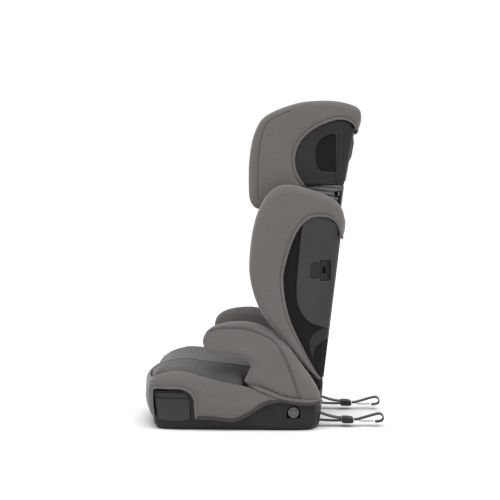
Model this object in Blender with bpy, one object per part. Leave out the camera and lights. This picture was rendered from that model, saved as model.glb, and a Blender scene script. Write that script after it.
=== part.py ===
"""High-back booster car seat, built as separate named pieces.

Frame: +Z up, the child faces -X, +Y is the child's right hand side.
The origin is the centre of the flat underside of the base.  Units are metres.
"""

import math

import bmesh
import bpy
import numpy as np
from mathutils import Matrix, Vector

# ---------------------------------------------------------------- driving dimensions
GAP = 0.0004                       # clearance between pieces that touch
BACK_TILT = math.radians(6.8)      # lean of the backrest, and the way the headrest slides
HINGE_X, HINGE_Z = 0.164, 0.072    # backrest pivot
AXLE_R = 0.005
REAR_X0, REAR_Z0 = 0.190, 0.100    # lowest rear point of the back shell
HEAD_X0, HEAD_Z0 = 0.2385, 0.545   # lowest rear point of the headrest shell
HEAD_TILT = math.radians(10.0)
SKIN = 0.006                       # fabric with its thin foam backing
SHELL = 0.004                      # moulded wall
BASE_TOP = 0.088                   # rim of the base tub
FRONT_X, FRONT_BOW = -0.2120, 0.0135   # front of the base, and how far its ends lie behind it
CUP_X, CUP_Y = -0.1415, 0.153      # centre of each cup well
CUP_R, CUP_DEPTH = 0.033, 0.050
BAR_Z, HEIGHT_STEP = 0.343, 0.020  # lock bar of the headrest, and its notches
STRAP_Y = 0.125                    # lower anchor straps, either side of the centre
BUTTON_X, BUTTON_Z = 0.125, 0.042  # recline buttons

# Side outlines, as points of X and Z that a smooth curve runs through
WING_EDGE = [(0.188, 0.104), (0.136, 0.158), (0.086, 0.218), (0.049, 0.272), (0.029, 0.335),
             (0.027, 0.389), (0.037, 0.460), (0.058, 0.513), (0.086, 0.541), (0.116, 0.547),
             (0.160, 0.537), (0.200, 0.522), (0.227, 0.501), (0.238, 0.467), (0.232, 0.423)]
WING_HEM = [(0.180, 0.119), (0.146, 0.183), (0.114, 0.257), (0.102, 0.330), (0.109, 0.379),
            (0.129, 0.436), (0.155, 0.469), (0.187, 0.476), (0.212, 0.468), (0.226, 0.445),
            (0.2285, 0.423)]
HEAD_EDGE = [(0.120, 0.520), (0.080, 0.500), (0.045, 0.492), (0.027, 0.509), (0.023, 0.545),
             (0.025, 0.609), (0.037, 0.664), (0.063, 0.701), (0.131, 0.728), (0.195, 0.734),
             (0.238, 0.729), (0.268, 0.717), (0.274, 0.696), (0.266, 0.664)]
HEAD_HEM = [(0.144, 0.547), (0.131, 0.575), (0.127, 0.609), (0.140, 0.643), (0.170, 0.671),
            (0.212, 0.689), (0.240, 0.690), (0.2585, 0.678), (0.2605, 0.664)]
ARM_EDGE = [(0.028, 0.142), (0.018, 0.1535), (0.000, 0.1615), (-0.030, 0.167), (-0.060, 0.172),
            (-0.076, 0.188), (-0.078, 0.207), (-0.066, 0.229), (-0.040, 0.241), (0.000, 0.2455),
            (0.040, 0.241), (0.080, 0.2205), (0.116, 0.188), (0.147, 0.1465), (0.180, 0.099),
            (0.1895, 0.077)]
# Part of the back shell's side that is set back from the raised rear panel
RECESS = [(0.144, 0.560), (0.144, 0.455), (0.132, 0.319), (0.136, 0.278), (0.159, 0.244),
          (0.193, 0.230), (0.250, 0.2285), (0.250, 0.050), (0.000, 0.050), (0.000, 0.560)]
# Side profile of the seat cushion's middle, and half the spacing of its two seams
CUSHION_CREST = [(-0.211, 0.109), (-0.198, 0.124), (-0.165, 0.138), (-0.120, 0.143),
                 (-0.050, 0.134), (0.050, 0.124), (0.112, 0.1215), (0.124, 0.1165), (0.146, 0.1110)]
CUSHION_SEAM = 0.118


# ---------------------------------------------------------------- small geometry helpers
def smooth(points, steps=3):
    """Catmull-Rom curve through the points, which are kept."""
    pts = [Vector(p) for p in points]
    pts = [2 * pts[0] - pts[1], *pts, 2 * pts[-1] - pts[-2]]
    out = []
    for a, b, c, d in zip(pts, pts[1:], pts[2:], pts[3:]):
        for k in range(steps):
            t = k / steps
            out.append(0.5 * ((2 * b) + (c - a) * t + (2 * a - 5 * b + 4 * c - d) * t * t
                              + (3 * b - a - 3 * c + d) * t ** 3))
    out.append(pts[-2])
    return [tuple(p) for p in out]


def inset(points, distance):
    """A closed outline moved inwards by a distance."""
    count = len(points)
    area = sum(points[i][0] * points[(i + 1) % count][1] - points[(i + 1) % count][0] * points[i][1]
               for i in range(count))
    turn = 1.0 if area > 0 else -1.0
    out = []
    for i, (x, z) in enumerate(points):
        before, after = Vector(points[i - 1]), Vector(points[(i + 1) % count])
        here = Vector((x, z))
        first = (here - before).normalized()
        second = (after - here).normalized()
        normal = Vector((-(first.y + second.y), first.x + second.x)) * turn
        if normal.length < 1e-6:
            out.append((x, z))
            continue
        normal.normalize()
        lean = max(0.5, normal.dot(Vector((-first.y, first.x)) * turn))
        out.append(tuple(here + normal * distance / lean))
    return out


def arc(cx, cz, radius, start, end, steps):
    """Points on an arc, angles in degrees."""
    angles = np.radians(np.linspace(start, end, steps + 1))
    return [(cx + radius * math.cos(a), cz + radius * math.sin(a)) for a in angles]


def rounded_box(x0, z0, x1, z1, radius, steps=3):
    """A rectangle with round corners."""
    return (arc(x1 - radius, z1 - radius, radius, 0, 90, steps)
            + arc(x0 + radius, z1 - radius, radius, 90, 180, steps)
            + arc(x0 + radius, z0 + radius, radius, 180, 270, steps)
            + arc(x1 - radius, z0 + radius, radius, 270, 360, steps))


def rear_x(z):
    """The rear face of the back shell at a height."""
    return REAR_X0 + (z - REAR_Z0) * math.tan(BACK_TILT)


def head_rear_x(z):
    """The rear face of the headrest shell at a height."""
    return HEAD_X0 + (z - HEAD_Z0) * math.tan(HEAD_TILT)


def wing_out(x, z):
    """Half width of the torso wings' outer face."""
    return 0.172 + 0.25 * (rear_x(z) - x)


def wing_in(x, z):
    """Half width of the torso wings' inner face."""
    return 0.142 + 0.16 * (rear_x(z) - x)


def head_out(x, z):
    """Half width of the headrest wings' outer face."""
    return 0.135 + 0.145 * (head_rear_x(z) - x)


def head_in(x, z):
    """Half width of the headrest wings' inner face."""
    return 0.113 + 0.045 * (head_rear_x(z) - x)


# ---------------------------------------------------------------- materials
MATERIALS = {
    "grey_fabric": ((0.205, 0.187, 0.182), 0.85, 0.0),
    "dark_fabric": ((0.115, 0.108, 0.105), 0.9, 0.0),
    "shell_plastic": ((0.055, 0.055, 0.058), 0.5, 0.0),
    "base_plastic": ((0.030, 0.028, 0.028), 0.55, 0.0),
    "grey_plastic": ((0.13, 0.13, 0.13), 0.45, 0.0),
    "foam": ((0.75, 0.75, 0.73), 0.9, 0.0),
    "steel": ((0.55, 0.55, 0.56), 0.35, 1.0),
    "webbing": ((0.035, 0.033, 0.036), 0.8, 0.0),
    "rubber": ((0.02, 0.02, 0.02), 0.85, 0.0),
    "black_steel": ((0.05, 0.05, 0.055), 0.4, 0.9),
}


def material(name):
    if name in bpy.data.materials:
        return bpy.data.materials[name]
    colour, roughness, metallic = MATERIALS[name]
    made = bpy.data.materials.new(name)
    made.use_nodes = True
    shader = made.node_tree.nodes["Principled BSDF"]
    shader.inputs["Base Color"].default_value = (*colour, 1.0)
    shader.inputs["Roughness"].default_value = roughness
    shader.inputs["Metallic"].default_value = metallic
    return made


# ---------------------------------------------------------------- solids
def mesh_object(name, points, faces, slot=None):
    """An object from points and faces, with its normals made to point out."""
    mesh = bpy.data.meshes.new(name)
    mesh.from_pydata([tuple(p) for p in points], [], faces)
    bm = bmesh.new()
    bm.from_mesh(mesh)
    bmesh.ops.remove_doubles(bm, verts=bm.verts, dist=1e-6)
    bmesh.ops.recalc_face_normals(bm, faces=bm.faces)
    if bm.calc_volume(signed=True) < 0:
        bmesh.ops.reverse_faces(bm, faces=bm.faces)
    bm.to_mesh(mesh)
    bm.free()
    obj = bpy.data.objects.new(name, mesh)
    bpy.context.scene.collection.objects.link(obj)
    if slot:
        mesh.materials.append(material(slot))
        mesh.shade_smooth()
        mesh.set_sharp_from_angle(angle=math.radians(35))
    return obj


def loft(name, rings, slot=None):
    """A closed body through rings of equal length, with capped ends."""
    count = len(rings[0])
    points = [p for ring in rings for p in ring]
    faces = [(r * count + i, r * count + (i + 1) % count,
              (r + 1) * count + (i + 1) % count, (r + 1) * count + i)
             for r in range(len(rings) - 1) for i in range(count)]
    faces.append(tuple(reversed(range(count))))
    faces.append(tuple((len(rings) - 1) * count + i for i in range(count)))
    return mesh_object(name, points, faces, slot)


def side_slab(name, outline, near, far, slot=None):
    """A side outline between two half-width surfaces, given as numbers or functions of x and z."""
    def at(surface, x, z):
        return surface(x, z) if callable(surface) else surface
    return loft(name, [[(x, at(near, x, z), z) for x, z in outline],
                       [(x, at(far, x, z), z) for x, z in outline]], slot)


def pillow(name, outline, inner, outer, radius, slot=None, steps=2):
    """A side outline between two surfaces, with both its edges rounded."""
    rings = []
    for k in range(steps + 1):
        angle = math.pi / 2 * k / steps
        ring = inset(outline, radius * (1 - math.sin(angle)))
        rings.append([(x, inner(x, z) + radius * (1 - math.cos(angle)), z) for x, z in ring])
    for k in range(steps, -1, -1):
        angle = math.pi / 2 * k / steps
        ring = inset(outline, radius * (1 - math.sin(angle)))
        rings.append([(x, outer(x, z) - radius * (1 - math.cos(angle)), z) for x, z in ring])
    return loft(name, rings, slot)


def plan_slab(name, outline, z0, z1, slot=None):
    """A plan outline of x and y between two heights."""
    return loft(name, [[(x, y, z0) for x, y in outline], [(x, y, z1) for x, y in outline]], slot)


def tube(name, start, end, radius, sides=16, slot=None):
    """A round bar between two points."""
    start, end = Vector(start), Vector(end)
    axis = (end - start).normalized()
    side = axis.orthogonal().normalized()
    up = axis.cross(side)
    rings = [[p + radius * (side * math.cos(2 * math.pi * i / sides)
                            + up * math.sin(2 * math.pi * i / sides))
              for i in range(sides)] for p in (start, end)]
    return loft(name, rings, slot)


def box(name, low, high, slot=None):
    return plan_slab(name, [(low[0], low[1]), (high[0], low[1]), (high[0], high[1]),
                            (low[0], high[1])], low[2], high[2], slot)


def combine(target, cutter, operation="DIFFERENCE"):
    """Applies a Boolean to the target's own mesh and removes the cutter."""
    modifier = target.modifiers.new("cut", "BOOLEAN")
    modifier.operation = operation
    modifier.object = cutter
    modifier.solver = "EXACT"
    graph = bpy.context.evaluated_depsgraph_get()
    made = bpy.data.meshes.new_from_object(target.evaluated_get(graph))
    target.modifiers.clear()
    slots = list(target.data.materials)
    target.data = made
    made.materials.clear()
    for slot in slots:
        made.materials.append(slot)
    for polygon in made.polygons:
        polygon.material_index = 0
    bpy.data.objects.remove(cutter)
    return target


def cut(target, *cutters):
    for cutter in cutters:
        combine(target, cutter)
    return target


def join(target, *others):
    for other in others:
        combine(target, other, "UNION")
    return target


def mirrored(obj, name):
    """The same piece on the other side of the seat."""
    mesh = obj.data.copy()
    bm = bmesh.new()
    bm.from_mesh(mesh)
    bmesh.ops.transform(bm, matrix=Matrix.Diagonal((1, -1, 1, 1)), verts=bm.verts)
    bmesh.ops.reverse_faces(bm, faces=bm.faces)
    bm.to_mesh(mesh)
    bm.free()
    copy = bpy.data.objects.new(name, mesh)
    bpy.context.scene.collection.objects.link(copy)
    return copy


def sided(name, outline, near, far, side):
    """A side slab at +Y, or its mirror image at -Y."""
    slab = side_slab(name, outline, near, far)
    if side > 0:
        return slab
    flipped = mirrored(slab, name + "_flipped")
    bpy.data.objects.remove(slab)
    return flipped


def pair(obj):
    """Names a piece made at +Y as the right one, and adds the left one."""
    name = obj.name
    obj.name = name + "_right"
    return obj, mirrored(obj, name + "_left")


# ---------------------------------------------------------------- base
def base_half_width(x):
    """Half width of the base at its rim."""
    front = max(0.0, (-0.130 - x) / 0.092)
    rear = max(0.0, (x - 0.120) / 0.072)
    return 0.200 - 0.034 * front ** 2 - 0.022 * rear ** 2


def base_plan(inward):
    """Closed plan outline of the base, moved inwards."""
    xs = np.concatenate([np.linspace(-0.186, -0.120, 5), np.linspace(-0.060, 0.100, 4),
                         np.linspace(0.135, 0.176, 4)])
    bow = [(FRONT_X + FRONT_BOW * (y / 0.144) ** 2, y) for y in (0.0, 0.040, 0.080, 0.115, 0.144)]
    front = [*bow, (-0.1957, 0.1640), (-0.1918, 0.1785)]
    right = [*front, *[(x, base_half_width(x)) for x in xs], (0.188, 0.150), (0.190, 0.080)]
    left = [(x, -y) for x, y in reversed(right) if y > 0]
    rim = [*right, (0.190, 0.0), *left]
    return [(x * (1 - inward / 0.206), y * (1 - inward / 0.200)) for x, y in rim]


def base_tub():
    """Hollow moulded base, with openings for the drawers, buttons and straps."""
    levels = [(0.0, 0.020), (0.003, 0.012), (0.010, 0.007), (0.024, 0.005), (BASE_TOP, 0.0)]
    tub = loft("base_tub", [[(x, y, z) for x, y in base_plan(e)] for z, e in levels],
               "base_plastic")
    inner = [(SHELL, 0.026), (0.012, 0.014), (0.026, 0.010), (0.100, 0.005)]
    cut(tub, loft("hollow", [[(x, y, z) for x, y in base_plan(e)] for z, e in inner]))
    for side in (1, -1):
        # boss that carries the hinge axle
        rib = [(HINGE_X - 0.020, SHELL / 2), (HINGE_X - 0.006, SHELL / 2), (HINGE_X + 0.008, 0.008),
               (HINGE_X + 0.013, 0.030), (HINGE_X + 0.012, 0.080), (HINGE_X - 0.013, 0.080)]
        y0, y1 = sorted((side * 0.140, side * 0.150))
        join(tub, side_slab("boss", rib, y0, y1))
        cut(tub, tube("bore", (HINGE_X, y0 - 0.01, HINGE_Z), (HINGE_X, y1 + 0.01, HINGE_Z),
                      AXLE_R + GAP))
        # opening for the cup holder drawer
        y0, y1 = sorted((side * 0.150, side * 0.240))
        cut(tub, side_slab("mouth", cup_outline(-0.0012), y0, y1))
        # round opening with an arched top for the recline button
        y0, y1 = sorted((side * 0.180, side * 0.240))
        arch = [*arc(BUTTON_X, BUTTON_Z, 0.0150, 0, 180, 10),
                (BUTTON_X - 0.0150, BUTTON_Z - 0.013), (BUTTON_X + 0.0150, BUTTON_Z - 0.013)]
        cut(tub, side_slab("arch", arch, y0, y1))
        # rectangular pocket ahead of the button
        y0, y1 = sorted((side * 0.1943, side * 0.240))
        cut(tub, side_slab("pocket", rounded_box(0.056, 0.026, 0.083, 0.052, 0.003), y0, y1))
        # two slots for each lower anchor strap in the rear wall
        y0, y1 = side * STRAP_Y - 0.0145, side * STRAP_Y + 0.0145
        cut(tub, box("slot", (0.150, y0, 0.0265), (0.200, y1, 0.0360)))
        cut(tub, box("slot", (0.150, y0, 0.0125), (0.200, y1, 0.0185)))
    return tub


def cup_outline(inward):
    """Face outline of the cup holder drawer: square in front, round at the upper rear corner."""
    shape = [(-0.1865, 0.084), *arc(-0.127, 0.062, 0.022, 90, 0, 5), (-0.1050, 0.026),
             (-0.131, 0.0205), (-0.1765, 0.0245)]
    return inset(shape, inward)


def cup_holder():
    """A drawer with a round well that slides out of the side."""
    body = side_slab("cup_holder", cup_outline(0.0), 0.1105, 0.300, "base_plastic")
    combine(body, plan_slab("face", base_plan(0.0008), -0.1, 0.3), "INTERSECT")
    keep = inset(cup_outline(0.0), 0.004)
    top = max(z for _, z in keep)
    cut(body, tube("well", (CUP_X, CUP_Y, top - CUP_DEPTH), (CUP_X, CUP_Y, 0.2), CUP_R, 24))
    cut(body, side_slab("lip", [(-0.30, 0.0715), (0.0, 0.0715), (0.0, 0.0730), (-0.30, 0.0730)],
                        lambda x, z: base_half_width(min(x, -0.1)) - 0.0045, 0.3))
    return pair(body)


def seat_deck():
    """Inner floor of the seat, which rests in the tub's rim."""
    rings = [[(x, y, z) for x, y in base_plan(0.0075)] for z in (0.0800, 0.0870)]
    deck = loft("seat_deck", rings, "base_plastic")
    # room for the cup wells, the hinge arms and the buttons
    for side in (1, -1):
        cut(deck, box("cup", (-0.190, min(side * 0.105, side * 0.21), 0.07),
                      (-0.100, max(side * 0.105, side * 0.21), 0.1)))
        cut(deck, box("arm", (0.132, min(side * 0.113, side * 0.158), 0.07),
                      (0.2, max(side * 0.113, side * 0.158), 0.1)))
    return deck


def foam_plan(grow):
    """Plan outline of the seat foam."""
    half = [(-0.186, 0.100), (-0.090, 0.104), (-0.085, 0.140), (0.070, 0.140), (0.108, 0.100)]
    return inset([*half, *[(x, -y) for x, y in reversed(half)]], -grow)


def seat_foam():
    """Energy-absorbing block under the cushion."""
    return plan_slab("seat_foam", foam_plan(0.0), BASE_TOP, 0.100, "foam")


def cushion_height(x, y):
    """Top of the seat cushion: crowned in front, dished in the middle, falling away at the sides."""
    crest = smooth(CUSHION_CREST, 6)
    middle = np.interp(x, [p[0] for p in crest], [p[1] for p in crest])
    fall = np.interp(x, (-0.190, 0.020), (0.012, 0.030))
    side = max(0.0, abs(y) - CUSHION_SEAM) / (0.199 - CUSHION_SEAM)
    return middle - fall * side ** 1.3 + 0.005 * min(abs(y) / CUSHION_SEAM, 1.0) ** 2


def seat_cushion():
    """Cushion between the armrests, with a wider front, hollow over the foam."""
    stations = [(-0.2075, 0.070), (-0.200, 0.124), (-0.194, 0.156), (-0.187, 0.178), (-0.150, 0.1965),
                (-0.090, 0.199), (-0.020, 0.199), (0.008, 0.1985), (0.011, 0.152), (0.070, 0.152),
                (0.112, 0.151), (0.124, 0.150), (0.146, 0.148)]
    rings = []
    for x, half in stations:
        ys = np.array([-1.0, -0.86, -0.62, -0.3, 0.0, 0.3, 0.62, 0.86, 1.0]) * half
        top = [(x, y, cushion_height(x, y)) for y in ys]
        bottom = BASE_TOP + GAP
        rings.append([*top, (x, half, bottom), (x, -half, bottom)])
    cushion = loft("seat_cushion", rings, "dark_fabric")
    return cut(cushion, plan_slab("hollow", foam_plan(GAP), 0.05, 0.100 + GAP))


def front_cover():
    """Light fabric over the front of the base, round both corners."""
    levels = [(0.0265, 0.0048, 0.0012), (0.050, 0.0030, -0.0032), (BASE_TOP, 0.0, -0.0062),
              (0.108, 0.0, -0.0050)]
    cover = loft("front_cover", [[(x, y, z) for x, y in base_plan(outer)]
                                 for z, _, outer in levels], "grey_fabric")
    cut(cover, loft("inside", [[(x, y, z + lift) for x, y in base_plan(inner - 0.0006)]
                               for (z, inner, _), lift in zip(levels, (-0.02, 0, 0, 0.1))]))
    corner = [(-0.30, 0.0), (-0.1890, 0.0), (-0.1890, 0.2), (-0.30, 0.2)]
    return combine(cover, side_slab("corner", corner, -0.3, 0.3), "INTERSECT")


def side_panel_outline():
    """Side outline of the base cover, with the opening for the drawer left out."""
    top = smooth([(-0.1885, 0.1120), (-0.180, 0.1255), (-0.147, 0.1325), (-0.098, 0.1275),
                  (-0.029, 0.109), (0.050, 0.0885), (0.097, 0.0712)], 3)
    low = smooth([(0.080, 0.0653), (0.059, 0.0574), (0.030, 0.0376), (0.000, 0.0235),
                  (-0.058, 0.0255), (-0.0935, 0.0258)], 3)
    window = [(-0.0955, 0.062), *arc(-0.127, 0.062, 0.0310, 0, 90, 5), (-0.1885, 0.093)]
    return [*top, *low, *window]


def shaped_to_base(name, outline, outward, inward, slot):
    """A side outline as a plate that follows the plan curve of the base."""
    plate = side_slab(name, outline, 0.100, 0.260, slot)
    xs = np.linspace(-0.230, 0.200, 22)
    band = ([(x, base_half_width(min(max(x, -0.222), 0.192)) + outward) for x in xs]
            + [(x, base_half_width(min(max(x, -0.222), 0.192)) + inward) for x in reversed(xs)])
    return combine(plate, plan_slab("band", band, -0.1, 0.4), "INTERSECT")


def side_cover():
    """Light fabric over the side of the base."""
    return pair(shaped_to_base("side_cover", side_panel_outline(), 0.0075, 0.0006, "grey_fabric"))


def armrest_outline(grow):
    """Closed armrest outline, down to where it meets the base."""
    edge = smooth(ARM_EDGE, 2)
    close = [(0.186, 0.0665), (0.164, 0.0645), (0.140, 0.0655), (0.118, 0.0690), (0.100, 0.0735),
             (0.080, 0.0815), (0.056, 0.0910), (0.026, 0.1015), (0.013, 0.1065), (0.021, 0.120)]
    return inset([*edge, *close], -grow)


def armrest_out(x, z):
    """Half width of the armrests' outer face."""
    return 0.2085 - 0.10 * max(0.0, x - 0.120) - 0.04 * max(0.0, z - 0.20)


def armrest():
    """Hard core and padded cover of an armrest."""
    core_shape = [(0.038, 0.0895), (0.036, 0.150), (0.004, 0.1715), (-0.050, 0.1835),
                  (-0.066, 0.196), (-0.062, 0.218), (-0.038, 0.229), (0.000, 0.2335),
                  (0.036, 0.229), (0.072, 0.2095), (0.106, 0.179), (0.136, 0.1395), (0.156, 0.110),
                  (0.156, 0.0895)]
    core = side_slab("armrest_core", core_shape, 0.1660, 0.1960, "base_plastic")
    room = inset([*core_shape[:-1], (0.156, 0.040), (0.038, 0.040)], -GAP)
    cover = pillow("armrest_cover", armrest_outline(0.0), lambda x, z: 0.1580, armrest_out, 0.010,
                   "grey_fabric")
    cut(cover, side_slab("room", room, 0.1660 - GAP, 0.1960 + GAP))
    # the base rim and deck run under the cover
    cut(cover, plan_slab("rim", base_plan(-0.0008), 0.020, BASE_TOP + 0.0012))
    cut(cover, side_slab("wing", wing_outline(-0.0015), 0.05, lambda x, z: wing_out(x, z) + 0.001))
    return pair(core), pair(cover)


def recline_button():
    """Round push button on a short stem, with the lock pin behind it."""
    wall = base_half_width(BUTTON_X) - 0.0035
    button = tube("recline_button", (BUTTON_X, wall - 0.012, BUTTON_Z),
                  (BUTTON_X, wall + 0.0015, BUTTON_Z), 0.0118, 24, "grey_plastic")
    ring = tube("ring", (BUTTON_X, wall + 0.0007, BUTTON_Z), (BUTTON_X, wall + 0.01, BUTTON_Z),
                0.0085, 24)
    hub = tube("hub", (BUTTON_X, wall - 0.02, BUTTON_Z), (BUTTON_X, wall + 0.02, BUTTON_Z),
               0.0060, 24)
    cut(button, combine(ring, hub))
    pin = tube("lock_pin", (BUTTON_X, 0.1350, BUTTON_Z), (BUTTON_X, wall - 0.0125, BUTTON_Z),
               0.0042, 12, "steel")
    return pair(button), pair(pin)


def hinge_parts():
    axle = tube("hinge_axle", (HINGE_X, -0.158, HINGE_Z), (HINGE_X, 0.158, HINGE_Z), AXLE_R, 16,
                "steel")
    return axle


def anchor_bar():
    """Steel bar inside the tub that both anchor straps loop round."""
    return tube("anchor_bar", (0.1535, -0.1395, 0.0265), (0.1535, 0.1395, 0.0265), 0.006, 12,
                "steel")


# ---------------------------------------------------------------- lower anchor straps
def ribbon(name, path, y, half_width, thickness, slot):
    """A flat strip that follows a path of X and Z."""
    upper, lower = [], []
    for i, here in enumerate(path):
        before, after = Vector(path[max(0, i - 1)]), Vector(path[min(len(path) - 1, i + 1)])
        along = (after - before).normalized()
        normal = Vector((-along.y, along.x)) * thickness / 2
        upper.append(tuple(Vector(here) + normal))
        lower.append(tuple(Vector(here) - normal))
    return side_slab(name, [*upper, *reversed(lower)], y - half_width, y + half_width, slot)


def anchor_strap():
    """Webbing, adjuster, hook and spring gate of one lower anchor."""
    y = STRAP_Y
    strap = ribbon("anchor_strap", smooth([(0.160, 0.0350), (0.1850, 0.0305), (0.2040, 0.0245),
                                           (0.2200, 0.0208), (0.2325, 0.0195)], 4),
                   y, 0.0125, 0.0026, "webbing")
    tail = ribbon("strap_tail", smooth([(0.160, 0.0165), (0.1850, 0.0148), (0.2050, 0.0136),
                                        (0.2200, 0.0134), (0.2325, 0.0138)], 4),
                  y, 0.0125, 0.0016, "webbing")
    body = [(0.2330, 0.0105), (0.2420, 0.0096), (0.2560, 0.0098), (0.2590, 0.0118),
            (0.2595, 0.0170), (0.2560, 0.0202), (0.2470, 0.0218), (0.2370, 0.0222),
            (0.2330, 0.0212)]
    adjuster = side_slab("strap_adjuster", body, y - 0.0175, y + 0.0175, "base_plastic")
    hook_line = [(0.2606, 0.0160), (0.2690, 0.0168), (0.2850, 0.0215), (0.3010, 0.0264),
                 (0.3130, 0.0296), *arc(0.3180, 0.0212, 0.0085, 85, -60, 7), (0.3170, 0.0124),
                 (0.3080, 0.0116)]
    hook = ribbon("latch_hook", hook_line, y, 0.0110, 0.0026, "black_steel")
    gate = ribbon("hook_gate", [(0.2720, 0.0138), (0.2780, 0.0124), (0.2920, 0.0122),
                                (0.3050, 0.0132)],
                  y, 0.0075, 0.0010, "steel")
    return pair(strap), pair(tail), pair(adjuster), pair(hook), pair(gate)


# ---------------------------------------------------------------- backrest
def back_u(z0, z1, rear, outer, thickness, reach):
    """A U-shaped wall: rear panel and two flared sides, leaning with the back."""
    rings = []
    corner = 0.024
    for z in (z0, z1):
        x_rear = rear(z)
        wide = outer(x_rear - corner, z)
        half = [(0.0, 0.0), (0.0, wide - corner)]
        half += [(corner * (1 - math.cos(a)), wide - corner * (1 - math.sin(a)))
                 for a in np.radians((30, 60, 90))]
        half.append((reach, outer(x_rear - reach, z)))
        closed = [*half, *[(d, -w) for d, w in reversed(half) if w > 0]]
        rear_wall = [(x_rear - d, w) for d, w in closed]
        inner = [(thickness, 0.0), (thickness, wide - corner)]
        inner += [(thickness + (corner - thickness) * (1 - math.cos(a)),
                   wide - corner + (corner - thickness) * math.sin(a))
                  for a in np.radians((30, 60, 90))]
        inner.append((reach, outer(x_rear - reach, z) - thickness))
        inside = [*inner, *[(d, -w) for d, w in reversed(inner) if w > 0]]
        rings.append((rear_wall, [(x_rear - d, w) for d, w in inside]))
    return rings


def u_solid(name, rings, z0, z1, slot):
    """Closes the outer and inner U of back_u into one wall."""
    made = []
    for z, (outer, inner) in zip((z0, z1), rings):
        start = next(i for i, p in enumerate(outer) if p[1] < 0)
        outer = outer[start:] + outer[:start]
        start = next(i for i, p in enumerate(inner) if p[1] < 0)
        inner = inner[start:] + inner[:start]
        made.append([(x, y, z) for x, y in [*outer, *reversed(inner)]])
    return loft(name, made, slot)


def wing_outline(distance):
    """Closed outline of a torso wing, its front and top moved inwards."""
    edge = smooth(WING_EDGE, 2)
    return inset([*edge, (rear_x(0.30), 0.30), (rear_x(0.20), 0.20)], distance)


def shell_side(margin):
    """Closed side outline that the back shell is trimmed to, moved inwards by a margin."""
    return inset([*smooth(WING_EDGE[:12], 2), (0.222, 0.505), (0.2425, 0.475), (0.30, 0.475),
                  (0.30, 0.104)], margin)


def face(offset):
    """Half width of the back shell's outer wall, moved outwards by an offset."""
    return lambda x, z: wing_out(x, z) - SKIN - GAP + offset


def back_shell():
    """Moulded shell of the backrest: rear panel and both sides."""
    z0, z1 = 0.06, 0.60
    rings = back_u(z0, z1, rear_x, face(0.0), SHELL, 0.230)
    shell = u_solid("back_shell", rings, z0, z1, "shell_plastic")
    combine(shell, side_slab("trim", shell_side(0.0085), -0.3, 0.3), "INTERSECT")
    # the middle of the rear panel stops below the headrest
    top = [(0.15, 0.462), (0.30, 0.462), (0.30, 0.62), (0.15, 0.62)]
    cut(shell, side_slab("top", top, -0.1540, 0.1540))
    for side in (1, -1):
        y0, y1 = sorted((side * 0.130, side * 0.260))
        cut(shell, side_slab("slot", rounded_box(0.1835, 0.3335, 0.2065, 0.3785, 0.002, 1), y0, y1))
        cut(shell, sided("recess", RECESS, face(-0.0020), 0.4, side))
        cut(shell, sided("scoop", rounded_box(0.1620, 0.3380, 0.1860, 0.3740, 0.004), face(-0.0016),
                         0.4, side))
        lower = [(0.240, 0.202), (0.1985, 0.202), *arc(0.206, 0.164, 0.038, 120, 190, 5),
                 (0.180, 0.112), (0.240, 0.112)]
        cut(shell, sided("lower", lower, 0.138, 0.260, side))
    return shell


def wing_cover():
    """Padded cover of a torso wing, open where the shell shows."""
    cover = pillow("wing_cover", wing_outline(0.0), wing_in, wing_out, 0.012, "grey_fabric")
    cut(cover, side_slab("room", shell_side(0.0078), lambda x, z: wing_in(x, z) + 0.010,
                         lambda x, z: wing_out(x, z) - SKIN))
    # outside window, framed by the hem
    window = [*smooth(WING_HEM, 2), (0.30, 0.423), (0.30, 0.02), (0.20, 0.02)]
    cut(cover, side_slab("window", window, lambda x, z: wing_out(x, z) - 0.020, 0.40))
    # the rear panel passes behind the inner face
    slot = [(rear_x(0.06) - 0.030, 0.06), (rear_x(0.505) - 0.030, 0.505), (0.222, 0.488),
            (0.2290, 0.466), (0.2235, 0.423), (0.30, 0.423), (0.30, 0.06)]
    cut(cover, side_slab("slot", slot, 0.050, lambda x, z: wing_out(x, z) - SKIN - 0.002))
    panel = [(rear_x(0.05) - 0.0065, 0.05), (rear_x(0.4715) - 0.0065, 0.4715), (0.31, 0.4715),
             (0.31, 0.05)]
    cut(cover, side_slab("panel", panel, 0.050, 0.1538))
    return pair(cover)


def wing_foam():
    """Foam liner between the shell and the inner face of a wing."""
    foam = side_slab("wing_foam", wing_outline(0.0135), lambda x, z: wing_in(x, z) + 0.0105,
                     lambda x, z: wing_out(x, z) - SKIN - SHELL - 3 * GAP, "foam")
    behind = [(rear_x(0.02) - 0.041, 0.02), (rear_x(0.62) - 0.041, 0.62), (0.40, 0.62),
              (0.40, 0.02)]
    cut(foam, side_slab("behind", behind, 0.0, 0.4))
    return pair(foam)


def leaning(name, z0, z1, d0, d1, half, slot):
    """A flat plate parallel to the rear panel, from d0 to d1 in front of it."""
    shape = [(rear_x(z0) - d0, z0), (rear_x(z1) - d0, z1), (rear_x(z1) - d1, z1),
             (rear_x(z0) - d1, z0)]
    return side_slab(name, shape, -half, half, slot)


def back_middle():
    """Foam and pad between the wings of the backrest."""
    foam = leaning("back_foam", 0.118, 0.445, 0.0270, 0.0430, 0.1205, "foam")
    outline = [(rear_x(0.118) - 0.0435, 0.118), (rear_x(0.446) - 0.0435, 0.446),
               (rear_x(0.443) - 0.058, 0.443), (rear_x(0.415) - 0.066, 0.415),
               (rear_x(0.250) - 0.066, 0.250), (rear_x(0.150) - 0.070, 0.150),
               (rear_x(0.124) - 0.066, 0.124)]
    pad = side_slab("back_pad", outline, -0.1465, 0.1465, "dark_fabric")
    return foam, pad


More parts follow.
